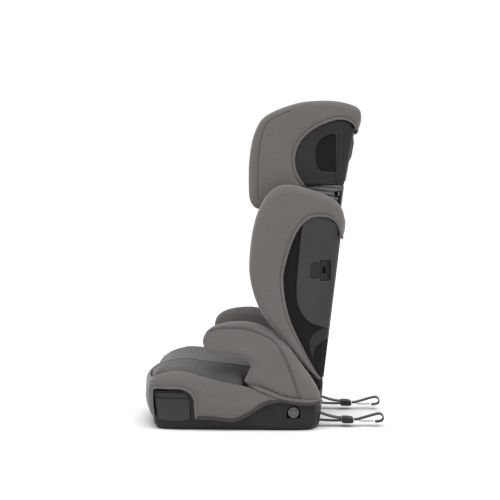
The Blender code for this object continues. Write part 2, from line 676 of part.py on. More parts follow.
def top_band():
    """Fabric band across the top of the rear panel."""
    shape = [(rear_x(0.425) + GAP, 0.425), (rear_x(0.4625) + GAP, 0.4625),
             (rear_x(0.4625) - 0.006, 0.4625 + GAP), (rear_x(0.468) - 0.006, 0.468),
             (rear_x(0.468) + 0.0055, 0.468), (rear_x(0.425) + 0.0055, 0.425)]
    return side_slab("back_top_band", shape, -0.149, 0.149, "grey_fabric")


def height_rack():
    """Toothed plate that sets the headrest's height."""
    rack = leaning("height_rack", 0.270, 0.456, SHELL + GAP, 0.0120, 0.040, "shell_plastic")
    for k in range(9):
        z = BAR_Z + HEIGHT_STEP * (k - 3)
        cut(rack, leaning("notch", z - 0.0045, z + 0.0045, 0.0075, 0.02, 0.05, None))
    return rack


def carriage_guide():
    """Channel that the headrest's carriage slides in."""
    y0, y1 = 0.098, 0.118
    rail = leaning("carriage_guide", 0.230, 0.440, SHELL + GAP, 0.0260, 1.0, "shell_plastic")
    combine(rail, box("side", (-1, y0, 0), (1, y1, 1)), "INTERSECT")
    channel = leaning("channel", 0.1, 0.6, 0.0130, 0.0228, 1.0, None)
    combine(channel, box("side", (-1, 0, 0), (1, 0.1105, 1)), "INTERSECT")
    cut(rail, channel)
    return pair(rail)


def cover_clip():
    """Catch in the side window of the shell, which holds the cover."""
    clip = side_slab("cover_clip", rounded_box(0.1842, 0.3342, 0.2058, 0.3778, 0.002, 1),
                     face(-0.0095), face(-0.0022), "base_plastic")
    cut(clip, side_slab("eye", rounded_box(0.1875, 0.350, 0.1955, 0.366, 0.002, 1), face(-0.02),
                        face(0.02)))
    cut(clip, side_slab("step", rounded_box(0.1985, 0.338, 0.2075, 0.3735, 0.001, 1),
                        face(-0.006), face(0.02)))
    return pair(clip)


def hinge_arm():
    """Arm from the shell to the axle, with the recline sector ahead of it."""
    neck = [(rear_x(0.165) - 0.0055, 0.165), (rear_x(0.165) - 0.0255, 0.165),
            (HINGE_X - 0.011, HINGE_Z + 0.012), (BUTTON_X - 0.004, BUTTON_Z + 0.009),
            (BUTTON_X - 0.010, BUTTON_Z - 0.004), (BUTTON_X - 0.004, BUTTON_Z - 0.013),
            (BUTTON_X + 0.010, BUTTON_Z - 0.008), (HINGE_X - 0.006, HINGE_Z - 0.011),
            (HINGE_X + 0.006, HINGE_Z - 0.010), (HINGE_X + 0.0115, HINGE_Z),
            (HINGE_X + 0.0105, HINGE_Z + 0.010), (rear_x(0.125) - 0.0055, 0.125)]
    arm = side_slab("hinge_arm", neck, 0.122, 0.131, "shell_plastic")
    cut(arm, tube("eye", (HINGE_X, 0.1, HINGE_Z), (HINGE_X, 0.16, HINGE_Z), AXLE_R + GAP, 16))
    cut(arm, tube("hole", (BUTTON_X, 0.1, BUTTON_Z), (BUTTON_X, 0.16, BUTTON_Z), 0.0050, 12))
    return pair(arm)


def lower_insert():
    """Dark cheek seen through the cut-out at the foot of the shell."""
    shape = [(0.1860, 0.195), (0.1680, 0.195), (0.1680, 0.150), (0.1715, 0.115), (0.1840, 0.115)]
    return pair(side_slab("lower_insert", shape, face(-0.0085), face(-0.0045), "rubber"))


# ---------------------------------------------------------------- headrest
def head_shell():
    """Moulded shell of the headrest, with a pocket in both sides."""
    z0, z1 = 0.50, 0.76
    rings = back_u(z0, z1, head_rear_x, lambda x, z: head_out(x, z) - SKIN - GAP, SHELL, 0.245)
    shell = u_solid("headrest_shell", rings, z0, z1, "shell_plastic")
    outline = [(0.070, 0.545), (0.045, 0.550), (0.024, 0.570), *smooth(HEAD_EDGE[5:11], 2),
               (0.300, 0.729), (0.300, 0.545)]
    combine(shell, side_slab("trim", inset(outline, 0.0088), -0.3, 0.3), "INTERSECT")
    crown = [(0.225, 0.780), (0.236, 0.7195), (0.252, 0.7090), (0.300, 0.6835), (0.300, 0.780)]
    cut(shell, side_slab("crown", crown, -0.3, 0.3))
    # pockets in both sides, which leave a thin wall
    for side in (1, -1):
        pocket = [(0.2170, 0.663), *arc(0.2150, 0.620, 0.0430, 90, 180, 5), (0.172, 0.592),
                  (0.182, 0.576), (0.2170, 0.573)]
        cut(shell, sided("pocket", pocket, lambda x, z: head_out(x, z) - SKIN - GAP - 0.0022, 0.4,
                         side))
    return shell


def head_cover():
    """Padded cover of a headrest wing, open where the shell shows."""
    outline = [*smooth(HEAD_EDGE, 2), (head_rear_x(0.60), 0.60), (head_rear_x(0.548), 0.548),
               (0.150, 0.5455)]
    cover = pillow("headrest_cover", outline, head_in, head_out, 0.009, "grey_fabric")
    room_edge = inset([*smooth(HEAD_EDGE[1:], 2), (0.29, 0.62), (0.29, 0.50)], 0.0078)
    cut(cover, side_slab("room", room_edge, lambda x, z: head_in(x, z) + 0.009,
                         lambda x, z: head_out(x, z) - SKIN))
    window = [*smooth(HEAD_HEM, 2), (0.29, 0.664), (0.29, 0.47), (0.150, 0.47)]
    cut(cover, side_slab("window", window, lambda x, z: head_out(x, z) - 0.020, 0.40))
    slot = [(head_rear_x(0.46) - 0.030, 0.46), (head_rear_x(0.700) - 0.030, 0.700),
            (0.2365, 0.7195), (0.2530, 0.7105), (0.2672, 0.7030), (head_rear_x(0.690) + GAP, 0.690),
            (head_rear_x(0.6625) + GAP, 0.6625), (0.29, 0.6625), (0.29, 0.46)]
    cut(cover, side_slab("slot", slot, 0.050, lambda x, z: head_out(x, z) - SKIN - 0.002))
    return pair(cover)


def head_foam():
    """Foam liner of a headrest wing."""
    edge = inset([*smooth(HEAD_EDGE[:11], 2), (0.212, 0.700), (0.205, 0.600), (0.195, 0.5455),
                  (0.150, 0.5455)], 0.0100)
    foam = side_slab("headrest_foam", edge, lambda x, z: head_in(x, z) + 0.0095,
                     lambda x, z: head_out(x, z) - SKIN - SHELL - 3 * GAP, "foam")
    return pair(foam)


def head_middle():
    """Top cap, rear band and pillow of the headrest."""
    top = smooth(HEAD_EDGE[9:14], 3)
    under = [(head_rear_x(0.664) + GAP, 0.664), (head_rear_x(0.704) + GAP, 0.704),
             (0.2545, 0.7125), (0.237, 0.7215), (0.195, 0.7265)]
    cap = side_slab("headrest_top", [*top, *under], -0.112, 0.112, "grey_fabric")
    side = [(head_rear_x(0.520) - 0.034, 0.512), (head_rear_x(0.560) - 0.030, 0.560),
            (head_rear_x(0.690) - 0.030, 0.690), (0.205, 0.7085), (0.180, 0.7080),
            (0.186, 0.690), (0.190, 0.640), (0.180, 0.580), (0.172, 0.530), (0.176, 0.512)]
    pad = side_slab("headrest_pillow", side, -0.110, 0.110, "dark_fabric")
    return cap, pad


def carriage():
    """Plate that carries the headrest and slides in the backrest."""
    half = [(0.108, 0.300), (0.108, 0.530), (0.090, 0.548), (0.090, 0.600)]
    outline = [*half, *[(-y, z) for y, z in reversed(half)]]
    plate = loft("headrest_carriage", [[(rear_x(z) - depth, y, z) for y, z in outline]
                                       for depth in (0.0140, 0.0220)], "shell_plastic")
    return cut(plate, leaning("window", BAR_Z - 0.005, BAR_Z + 0.005, 0.005, 0.030, 0.046,
                              None))


def lock_bar():
    """Steel bar that drops into a notch of the rack."""
    x = rear_x(BAR_Z) - 0.0160
    return tube("lock_bar", (x, -0.044, BAR_Z), (x, 0.044, BAR_Z), 0.0030, 12, "steel")


def headrest_handle():
    """Pull-up handle behind the headrest, with the plate that works the lock bar."""
    shape = [(head_rear_x(0.600) + GAP, 0.600), (head_rear_x(0.652) + GAP, 0.652),
             (head_rear_x(0.652) + 0.002, 0.652), (head_rear_x(0.641) + 0.0048, 0.641),
             (head_rear_x(0.611) + 0.0048, 0.611), (head_rear_x(0.600) + 0.002, 0.600)]
    return side_slab("headrest_handle", shape, -0.038, 0.038, "grey_plastic")


def belt_guide():
    """Hook under the headrest that the shoulder belt runs through."""
    y0, y1 = 0.1268, 0.1358
    shape = [(0.232, 0.541), (0.226, 0.5532), (0.176, 0.5532), (0.160, 0.541), (0.160, 0.533),
             (0.160, 0.516), (0.168, 0.508), (0.218, 0.508), (0.224, 0.514), (0.2215, 0.5185),
             (0.172, 0.5175), (0.169, 0.521), (0.169, 0.5285), (0.172, 0.5315), (0.228, 0.5315)]
    guide = side_slab("belt_guide", shape, y0, y1, "base_plastic")
    gate = [(0.2230, 0.5305), (0.2270, 0.5305), (0.2262, 0.5215), (0.2225, 0.5205)]
    return pair(guide), pair(side_slab("belt_gate", gate, y0 + 0.0010, y1 - 0.0010, "grey_plastic"))


# ---------------------------------------------------------------- build
def main():
    for obj in list(bpy.data.objects):
        bpy.data.objects.remove(obj)
    base_tub()
    seat_deck()
    seat_foam()
    seat_cushion()
    cup_holder()
    side_cover()
    front_cover()
    armrest()
    recline_button()
    hinge_parts()
    anchor_bar()
    anchor_strap()
    back_shell()
    wing_cover()
    wing_foam()
    back_middle()
    top_band()
    height_rack()
    carriage_guide()
    cover_clip()
    hinge_arm()
    lower_insert()
    head_shell()
    head_cover()
    head_foam()
    head_middle()
    carriage()
    lock_bar()
    headrest_handle()
    belt_guide()


main()
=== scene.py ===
"""Looks of the high-back booster car seat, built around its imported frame.

Frame: +Z up, the child faces -X, +Y is the child's right hand side.  Units are metres.
Paired pieces are made for the right hand side and mirrored to the left.
"""

import math

import bmesh
import bpy
import numpy as np
from mathutils import Matrix, Vector
from mathutils.bvhtree import BVHTree
from mathutils.geometry import delaunay_2d_cdt
from mathutils.kdtree import KDTree


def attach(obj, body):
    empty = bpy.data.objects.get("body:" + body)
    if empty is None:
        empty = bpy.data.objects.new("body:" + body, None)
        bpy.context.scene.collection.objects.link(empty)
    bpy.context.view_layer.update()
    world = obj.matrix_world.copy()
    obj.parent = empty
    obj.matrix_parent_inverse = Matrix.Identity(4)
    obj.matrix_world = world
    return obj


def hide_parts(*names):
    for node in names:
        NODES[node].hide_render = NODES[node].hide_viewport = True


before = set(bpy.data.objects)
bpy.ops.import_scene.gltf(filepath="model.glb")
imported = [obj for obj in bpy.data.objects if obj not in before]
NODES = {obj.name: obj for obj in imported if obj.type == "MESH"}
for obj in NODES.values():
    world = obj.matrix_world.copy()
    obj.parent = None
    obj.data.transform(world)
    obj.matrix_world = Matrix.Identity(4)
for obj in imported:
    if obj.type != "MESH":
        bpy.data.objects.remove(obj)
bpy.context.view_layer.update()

# ---------------------------------------------------------------- dimensions shared with the part
BACK_TILT = math.radians(6.8)
HEAD_TILT = math.radians(10.0)
REAR_X0, REAR_Z0 = 0.190, 0.100    # lowest rear point of the back shell
HEAD_X0, HEAD_Z0 = 0.2385, 0.545   # lowest rear point of the headrest shell
CUSHION_SEAM = 0.118               # half the spacing of the seat's two seams
SHELL_INSET = 0.0064               # outer walls of the shells, inside the covers' outer faces

# Side outlines, as points of X and Z that a smooth curve runs through
WING_EDGE = [(0.188, 0.104), (0.136, 0.158), (0.086, 0.218), (0.049, 0.272), (0.029, 0.335),
             (0.027, 0.389), (0.037, 0.460), (0.058, 0.513), (0.086, 0.541), (0.116, 0.547),
             (0.160, 0.537), (0.200, 0.522), (0.227, 0.501), (0.238, 0.467), (0.232, 0.423)]
WING_HEM = [(0.180, 0.119), (0.146, 0.183), (0.114, 0.257), (0.102, 0.330), (0.109, 0.379),
            (0.129, 0.436), (0.155, 0.469), (0.187, 0.476), (0.212, 0.468), (0.226, 0.445),
            (0.2285, 0.423)]
HEAD_EDGE = [(0.147, 0.541), (0.120, 0.520), (0.080, 0.500), (0.045, 0.492), (0.027, 0.509),
             (0.023, 0.545), (0.025, 0.609), (0.037, 0.664), (0.063, 0.701), (0.131, 0.728),
             (0.195, 0.734), (0.238, 0.729), (0.268, 0.717), (0.274, 0.696), (0.266, 0.664)]
HEAD_HEM = [(0.148, 0.546), (0.131, 0.575), (0.127, 0.609), (0.140, 0.643), (0.170, 0.671),
            (0.212, 0.689), (0.240, 0.690), (0.2585, 0.678), (0.2605, 0.664)]
ARM_SEAM = [(-0.0745, 0.196), (-0.0735, 0.210), (-0.065, 0.2225), (-0.045, 0.230),
            (-0.020, 0.232), (0.020, 0.230), (0.056, 0.218), (0.080, 0.204), (0.097, 0.184),
            (0.113, 0.149), (0.128, 0.108), (0.140, 0.072)]
PANEL_TOP = [(-0.147, 0.1325), (-0.117, 0.132), (-0.098, 0.1275), (-0.068, 0.119),
             (-0.029, 0.109), (0.020, 0.100), (0.049, 0.089), (0.073, 0.080), (0.097, 0.0712)]
PANEL_HEM = [(-0.0935, 0.0258), (-0.058, 0.0255), (-0.019, 0.0215), (0.000, 0.0235),
             (0.030, 0.0376), (0.059, 0.0574), (0.080, 0.0653), (0.097, 0.0705)]
WINDOW = [(-0.150, 0.0935), (-0.127, 0.0930), (-0.108, 0.0860), (-0.0975, 0.0720),
          (-0.0955, 0.057), (-0.0945, 0.0400), (-0.0935, 0.0258)]


# ---------------------------------------------------------------- curves
def smooth(points, steps=8):
    """Catmull-Rom curve through the points, as an array."""
    pts = [np.array(p, float) for p in points]
    pts = [2 * pts[0] - pts[1], *pts, 2 * pts[-1] - pts[-2]]
    out = []
    for a, b, c, d in zip(pts, pts[1:], pts[2:], pts[3:]):
        for k in range(steps):
            t = k / steps
            out.append(0.5 * ((2 * b) + (c - a) * t + (2 * a - 5 * b + 4 * c - d) * t * t
                              + (3 * b - a - 3 * c + d) * t ** 3))
    out.append(pts[-2])
    return np.array(out)


def lengths(points):
    """Distance along a polyline at each of its points."""
    steps = np.linalg.norm(np.diff(points, axis=0), axis=1)
    return np.concatenate([[0.0], np.cumsum(steps)])


def along(points, fractions):
    """Points of a polyline at fractions of its length."""
    points = np.asarray(points, float)
    run = lengths(points)
    at = np.asarray(fractions) * run[-1]
    return np.stack([np.interp(at, run, points[:, k]) for k in range(points.shape[1])], axis=-1)


def matched(edge, other, follow=0.75):
    """Points of the other curve that face those of the edge, in order from end to end."""
    count = len(edge)
    even = np.linspace(0, 1, count)
    fine = np.linspace(0, 1, 600)
    dense = along(other, fine)
    gaps = np.linalg.norm(edge[:, None, :] - dense[None, :, :], axis=2)
    nearest = fine[np.argmin(gaps, axis=1)]
    mixed = follow * nearest + (1 - follow) * even
    mixed = np.maximum.accumulate(mixed)
    window = max(3, count // 12)
    padded_ends = np.concatenate([np.full(window, mixed[0]), mixed, np.full(window, mixed[-1])])
    kernel = np.ones(2 * window + 1) / (2 * window + 1)
    mixed = np.convolve(padded_ends, kernel, mode="valid")
    mixed = (mixed - mixed[0]) / (mixed[-1] - mixed[0])
    return along(other, mixed)


def unit_normals(slope):
    """Unit directions square to the slopes of a flat line."""
    normal = np.stack([-slope[:, 1], slope[:, 0]], axis=-1)
    return normal / np.maximum(np.linalg.norm(normal, axis=1), 1e-9)[:, None]


def outward(count):
    """Directions out of the seat's right side, one for each point."""
    return np.tile([0.0, 1.0, 0.0], (count, 1))


def rear_x(z):
    """The rear face of the back shell at a height."""
    return REAR_X0 + (z - REAR_Z0) * math.tan(BACK_TILT)


def head_rear_x(z):
    """The rear face of the headrest shell at a height."""
    return HEAD_X0 + (z - HEAD_Z0) * math.tan(HEAD_TILT)


def wing_out(x, z):
    """Half width of the torso wings' outer face."""
    return 0.172 + 0.25 * (rear_x(z) - x)


def wing_in(x, z):
    """Half width of the torso wings' inner face."""
    return 0.142 + 0.16 * (rear_x(z) - x)


def head_out(x, z):
    """Half width of the headrest wings' outer face."""
    return 0.135 + 0.145 * (head_rear_x(z) - x)


def head_in(x, z):
    """Half width of the headrest wings' inner face."""
    return 0.113 + 0.045 * (head_rear_x(z) - x)


def base_half_width(x):
    """Half width of the base at its rim."""
    front = np.maximum(0.0, (-0.130 - x) / 0.092)
    rear = np.maximum(0.0, (x - 0.120) / 0.072)
    return 0.200 - 0.034 * front ** 2 - 0.022 * rear ** 2


# ---------------------------------------------------------------- node helpers
def new_material(name):
    """An empty node material and its shader, with a short way to add nodes."""
    made = bpy.data.materials.new(name)
    made.use_nodes = True
    tree = made.node_tree
    shader = tree.nodes["Principled BSDF"]

    def add(kind, links=(), **values):
        node = tree.nodes.new(kind)
        for key, value in values.items():
            if key.startswith("in_"):
                socket = key[3:].replace("_", " ")
                node.inputs[int(socket) if socket.isdigit() else socket].default_value = value
            else:
                setattr(node, key, value)
        for source, target in links:
            tree.links.new(source, node.inputs[target])
        return node

    return made, shader, add, tree


def ramp(add, source, stops):
    """A colour ramp over a value."""
    node = add("ShaderNodeValToRGB", links=[(source, "Fac")])
    node.color_ramp.elements[0].position, node.color_ramp.elements[0].color = (
        stops[0][0], (*stops[0][1], 1.0))
    node.color_ramp.elements[1].position, node.color_ramp.elements[1].color = (
        stops[-1][0], (*stops[-1][1], 1.0))
    for position, colour in stops[1:-1]:
        node.color_ramp.elements.new(position).color = (*colour, 1.0)
    return node


def maths(add, operation, first, second):
    """One step of arithmetic on sockets or numbers."""
    node = add("ShaderNodeMath", operation=operation)
    for index, value in enumerate((first, second)):
        if isinstance(value, (int, float)):
            node.inputs[index].default_value = value
        else:
            node.id_data.links.new(value, node.inputs[index])
    return node.outputs[0]


def tint(colour, factor):
    """A colour made lighter or darker."""
    return tuple(c * factor for c in colour)


WEAVE_PITCH = 0.0012
WAVE_PERIOD = 2 * math.pi / 20     # period of Blender's wave texture at scale 1, in metres


def weave_height(add, coords, pitch):
    """Threads that cross on faces of any direction, as a height from 0 to 1."""
    waves = [add("ShaderNodeTexWave", links=[(coords, "Vector")], bands_direction=axis,
                 in_Scale=WAVE_PERIOD / pitch, in_Distortion=0.6, in_Detail=0.0).outputs["Fac"]
             for axis in ("X", "Y", "Z")]
    total = maths(add, "ADD", maths(add, "ADD", waves[0], waves[1]), waves[2])
    return maths(add, "DIVIDE", total, 3.0)


def fabric(name, colour, sheen=0.35, roughness=0.86, pitch=WEAVE_PITCH, depth=0.35):
    """Woven cover cloth: crossing threads, mixed yarn colours and soft large patches."""
    made, shader, add, tree = new_material(name)
    coords = add("ShaderNodeTexCoord").outputs["Object"]
    yarn = add("ShaderNodeTexNoise", links=[(coords, "Vector")], in_Scale=900.0, in_Detail=2.0)
    patch = add("ShaderNodeTexNoise", links=[(coords, "Vector")], in_Scale=9.0, in_Detail=3.0,
                in_Roughness=0.55)
    yarns = ramp(add, yarn.outputs["Fac"], [(0.30, tint(colour, 0.80)), (0.52, colour),
                                            (0.72, tint(colour, 1.22))])
    patches = ramp(add, patch.outputs["Fac"], [(0.30, (0.90, 0.90, 0.90)), (0.70, (1.0, 1.0, 1.0))])
    mixed = add("ShaderNodeMix", data_type="RGBA", blend_type="MULTIPLY")
    mixed.inputs["Factor"].default_value = 1.0
    tree.links.new(yarns.outputs["Color"], mixed.inputs["A"])
    tree.links.new(patches.outputs["Color"], mixed.inputs["B"])
    tree.links.new(mixed.outputs["Result"], shader.inputs["Base Color"])
    height = weave_height(add, coords, pitch)
    fuzz = maths(add, "MULTIPLY", yarn.outputs["Fac"], 0.4)
    bump = add("ShaderNodeBump", links=[(maths(add, "ADD", height, fuzz), "Height")],
               in_Strength=depth, in_Distance=0.0005)
    tree.links.new(bump.outputs["Normal"], shader.inputs["Normal"])
    shader.inputs["Roughness"].default_value = roughness
    shader.inputs["Specular IOR Level"].default_value = 0.25
    shader.inputs["Sheen Weight"].default_value = sheen
    shader.inputs["Sheen Roughness"].default_value = 0.45
    shader.inputs["Sheen Tint"].default_value = (0.85, 0.84, 0.83, 1.0)
    return made


def plastic(name, colour, roughness=0.5, grain=0.0009, depth=0.18, wear=1.5, specular=0.25):
    """Moulded plastic: a fine spark-eroded grain, uneven gloss and edges rubbed lighter."""
    made, shader, add, tree = new_material(name)
    coords = add("ShaderNodeTexCoord").outputs["Object"]
    pits = add("ShaderNodeTexNoise", links=[(coords, "Vector")], in_Scale=0.6 / grain,
               in_Detail=2.0)
    patch = add("ShaderNodeTexNoise", links=[(coords, "Vector")], in_Scale=14.0, in_Detail=4.0)
    edges = add("ShaderNodeNewGeometry").outputs["Pointiness"]
    rubbed = ramp(add, edges, [(0.52, (0.0, 0.0, 0.0)), (0.60, (1.0, 1.0, 1.0))])
    worn = maths(add, "MULTIPLY", rubbed.outputs["Color"], patch.outputs["Fac"])
    tones = ramp(add, patch.outputs["Fac"], [(0.30, tint(colour, 0.86)), (0.70, tint(colour, 1.10))])
    mixed = add("ShaderNodeMix", data_type="RGBA", links=[(worn, "Factor")])
    tree.links.new(tones.outputs["Color"], mixed.inputs["A"])
    mixed.inputs["B"].default_value = (*tint(colour, wear), 1.0)
    tree.links.new(mixed.outputs["Result"], shader.inputs["Base Color"])
    gloss = add("ShaderNodeMapRange", links=[(patch.outputs["Fac"], "Value")])
    gloss.inputs["To Min"].default_value = roughness - 0.07
    gloss.inputs["To Max"].default_value = roughness + 0.07
    tree.links.new(gloss.outputs["Result"], shader.inputs["Roughness"])
    bump = add("ShaderNodeBump", links=[(pits.outputs["Fac"], "Height")], in_Strength=depth,
               in_Distance=0.0003)
    tree.links.new(bump.outputs["Normal"], shader.inputs["Normal"])
    shader.inputs["Specular IOR Level"].default_value = specular
    return made


def webbing_cloth(name, colour):
    """Narrow woven strap: fine ribs and a slight gloss."""
    made, shader, add, tree = new_material(name)
    coords = add("ShaderNodeTexCoord").outputs["Object"]
    ribs = add("ShaderNodeTexWave", links=[(coords, "Vector")], bands_direction="Y",
               in_Scale=WAVE_PERIOD / 0.0016, in_Distortion=0.4)
    weft = add("ShaderNodeTexWave", links=[(coords, "Vector")], bands_direction="X",
               in_Scale=WAVE_PERIOD / 0.0011, in_Distortion=0.4)
    height = maths(add, "ADD", ribs.outputs["Fac"], maths(add, "MULTIPLY", weft.outputs["Fac"],
                                                          0.5))
    tones = ramp(add, height, [(0.2, tint(colour, 0.6)), (1.2, tint(colour, 1.3))])
    tree.links.new(tones.outputs["Color"], shader.inputs["Base Color"])
    bump = add("ShaderNodeBump", links=[(height, "Height")], in_Strength=0.5, in_Distance=0.0004)
    tree.links.new(bump.outputs["Normal"], shader.inputs["Normal"])
    shader.inputs["Roughness"].default_value = 0.62
    shader.inputs["Sheen Weight"].default_value = 0.2
    return made


def metal(name, colour, roughness, metallic=1.0):
    """Drawn or pressed steel: faint streaks and uneven gloss."""
    made, shader, add, tree = new_material(name)
    coords = add("ShaderNodeTexCoord").outputs["Object"]
    stretch = add("ShaderNodeMapping", links=[(coords, "Vector")], in_Scale=(60.0, 900.0, 900.0))
    streaks = add("ShaderNodeTexNoise", links=[(stretch.outputs["Vector"], "Vector")],
                  in_Scale=1.0, in_Detail=2.0)
    tones = ramp(add, streaks.outputs["Fac"], [(0.3, tint(colour, 0.8)), (0.7, tint(colour, 1.1))])
    tree.links.new(tones.outputs["Color"], shader.inputs["Base Color"])
    gloss = add("ShaderNodeMapRange", links=[(streaks.outputs["Fac"], "Value")])
    gloss.inputs["To Min"].default_value = roughness - 0.08
    gloss.inputs["To Max"].default_value = roughness + 0.12
    tree.links.new(gloss.outputs["Result"], shader.inputs["Roughness"])
    shader.inputs["Metallic"].default_value = metallic
    return made


def bead_foam(name, colour):
    """Expanded foam block: packed beads with dark joints between them."""
    made, shader, add, tree = new_material(name)
    coords = add("ShaderNodeTexCoord").outputs["Object"]
    beads = add("ShaderNodeTexVoronoi", links=[(coords, "Vector")], in_Scale=260.0)
    tones = ramp(add, beads.outputs["Distance"], [(0.35, colour), (0.75, tint(colour, 0.72))])
    tree.links.new(tones.outputs["Color"], shader.inputs["Base Color"])
    bump = add("ShaderNodeBump", links=[(beads.outputs["Distance"], "Height")], in_Strength=0.4,
               in_Distance=0.001)
    bump.invert = True
    tree.links.new(bump.outputs["Normal"], shader.inputs["Normal"])
    shader.inputs["Roughness"].default_value = 0.9
    return made


GREY = (0.118, 0.1075, 0.1040)
DARK = (0.077, 0.0725, 0.0700)
FINISHES = {
    "grey_fabric": fabric("grey_fabric_cloth", GREY),
    "dark_fabric": fabric("dark_fabric_cloth", DARK, sheen=0.3, pitch=0.0016),
    "shell_plastic": plastic("shell_moulding", (0.0140, 0.0137, 0.0148), 0.52),
    "base_plastic": plastic("base_moulding", (0.0125, 0.0118, 0.0110), 0.55),
    "grey_plastic": plastic("grey_moulding", (0.085, 0.085, 0.083), 0.45),
    "foam": bead_foam("bead_foam", (0.52, 0.52, 0.50)),
    "steel": metal("plated_steel", (0.52, 0.52, 0.53), 0.34),
    "webbing": webbing_cloth("strap_webbing", (0.009, 0.0085, 0.009)),
    "rubber": plastic("cheek_moulding", (0.012, 0.011, 0.012), 0.7, wear=1.1),
    "black_steel": metal("black_steel_plate", (0.016, 0.016, 0.018), 0.45, 0.4),
}
SHELL_LIGHT = plastic("shell_panel_moulding", (0.031, 0.031, 0.0330), 0.50)
# Darker than the shell: the foot cheek's own dark moulding, and painted shade where it lines the channel
# ahead of the rear panel, the headrest pockets and the belt guides' mouths.
DARK_MOULDING_AND_PAINTED_SHADE = plastic("dark_moulding_and_painted_shade", (0.006, 0.006, 0.0057), 0.65, wear=1.2, specular=0.12)
RIB_GREY = plastic("belt_guide_moulding", (0.085, 0.084, 0.085), 0.42)
CUP_GREY = plastic("drawer_moulding", (0.024, 0.0232, 0.0222), 0.55)
# Piping darker than the cover cloth: real piping, darkened as painted shade for the dark line along its
# seam.
PIPING_AND_PAINTED_SHADE = fabric("piping_cloth_and_painted_shade", tint(GREY, 0.80), pitch=0.0008)
HEM_CLOTH = fabric("hem_binding_cloth", tint(GREY, 0.36), pitch=0.0008)
# Real stitching thread, darkened as painted shade for the dark lines in the seam grooves.
SEAM_THREAD_AND_PAINTED_SHADE = fabric("seam_thread_and_painted_shade", tint(GREY, 0.35), pitch=0.0005, sheen=0.1)


def finish_nodes():
    """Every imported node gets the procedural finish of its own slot."""
    for name, node in NODES.items():
        for holder in node.material_slots:
            key = holder.material.name.split(".")[0]
            holder.material = CUP_GREY if name.startswith("cup_holder") else FINISHES[key]


# ---------------------------------------------------------------- mesh helpers
def add_object(name, points, faces, finish):
    """A smooth-shaded object from points and faces."""
    mesh = bpy.data.meshes.new(name)
    mesh.from_pydata([tuple(p) for p in points], [], [tuple(f) for f in faces])
    mesh.materials.append(finish)
    mesh.shade_smooth()
    made = bpy.data.objects.new(name, mesh)
    bpy.context.scene.collection.objects.link(made)
    return made


def grid_object(name, grid, finish):
    """A sheet of quads over a grid of points."""
    rows, columns = grid.shape[:2]
    points = grid.reshape(-1, 3)
    faces = [(r * columns + c, (r + 1) * columns + c, (r + 1) * columns + c + 1,
              r * columns + c + 1) for r in range(rows - 1) for c in range(columns - 1)]
    return add_object(name, points, faces, finish)


def rebuilt(made, *modifiers):
    """Adds modifiers to an object, given as (kind, settings), and applies them."""
    for kind, settings in modifiers:
        modifier = made.modifiers.new(kind.lower(), kind)
        for key, value in settings.items():
            setattr(modifier, key, value)
    graph = bpy.context.evaluated_depsgraph_get()
    mesh = bpy.data.meshes.new_from_object(made.evaluated_get(graph))
    made.modifiers.clear()
    made.data = mesh
    mesh.shade_smooth()
    return made


def facing_out(made, point):
    """Turns a sheet over if its normals point towards a point rather than away from it."""
    centre = Vector(point)
    score = sum((p.center - centre).dot(p.normal) * p.area for p in made.data.polygons)
    if score < 0:
        made.data.flip_normals()
    return made


def joined(first, *others, one_finish=False):
    """Merges other objects into the first, each with its own finish unless all share one."""
    bm = bmesh.new()
    bm.from_mesh(first.data)
    for other in others:
        start = len(bm.faces)
        bm.from_mesh(other.data)
        if not one_finish:
            bm.faces.ensure_lookup_table()
            for face in bm.faces[start:]:
                face.material_index = len(first.data.materials)
            first.data.materials.append(other.data.materials[0])
        bpy.data.objects.remove(other)
    bm.to_mesh(first.data)
    bm.free()
    first.data.shade_smooth()
    return first


def mirrored(made, name):
    """The same piece on the other side of the seat."""
    mesh = made.data.copy()
    mesh.transform(Matrix.Diagonal((1, -1, 1, 1)))
    mesh.flip_normals()
    copy = bpy.data.objects.new(name, mesh)
    bpy.context.scene.collection.objects.link(copy)
    return copy


def settle(made, body, replaced=()):
    """Hangs a piece on its body, and hides the imported parts that it stands for."""
    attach(made, body)
    if replaced:
        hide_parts(*replaced)
    return made


def both_sides(made, body, node=None):
    """Mirrors a right-hand piece, and settles the two."""
    name = made.name
    other = mirrored(made, name + "_left")
    made.name = name + "_right"
    for piece, side in ((made, "_right"), (other, "_left")):
        settle(piece, body, (node + side,) if node else ())


def tube(name, path, radius, finish, sides=10, flat=1.0, up=None):
    """A round or flattened tube along points, closed at both ends."""
    path = [Vector(p) for p in path]
    rings = []
    for i, here in enumerate(path):
        ahead = path[min(i + 1, len(path) - 1)] - path[max(i - 1, 0)]
        ahead.normalize()
        lift = Vector(up[i]) if up is not None else Vector((0, 1, 0))
        side = ahead.cross(lift).normalized()
        lift = side.cross(ahead).normalized()
        rings.append([here + radius * (side * math.cos(a) + flat * lift * math.sin(a))
                      for a in np.linspace(0, 2 * math.pi, sides, endpoint=False)])
    points = [p for ring in rings for p in ring]
    faces = [(r * sides + i, r * sides + (i + 1) % sides, (r + 1) * sides + (i + 1) % sides,
              (r + 1) * sides + i) for r in range(len(rings) - 1) for i in range(sides)]
    faces.append(tuple(reversed(range(sides))))
    faces.append(tuple((len(rings) - 1) * sides + i for i in range(sides)))
    made = add_object(name, points, faces, finish)
    bm = bmesh.new()
    bm.from_mesh(made.data)
    bmesh.ops.recalc_face_normals(bm, faces=bm.faces)
    bm.to_mesh(made.data)
    bm.free()
    return made


def stitches(name, path, ups, finish, pitch=0.0055, length=0.0036, radius=0.00045):
    """A row of short raised threads along a path."""
    run = lengths(np.array(path))
    count = int(run[-1] / pitch)
    pieces = []
    for k in range(count):
        start = (k + 0.5) * pitch / run[-1]
        end = start + length / run[-1]
        if end > 1.0:
            break
        a, b = along(path, [start, end])
        up = along(ups, [start])[0]
        middle = (a + b) / 2 + up * radius * 0.9
        pieces.append(tube("thread", [a - up * radius, middle, b - up * radius], radius, finish,
                           sides=5, up=[up] * 3))
    pieces[0].name = name
    return joined(*pieces, one_finish=True)


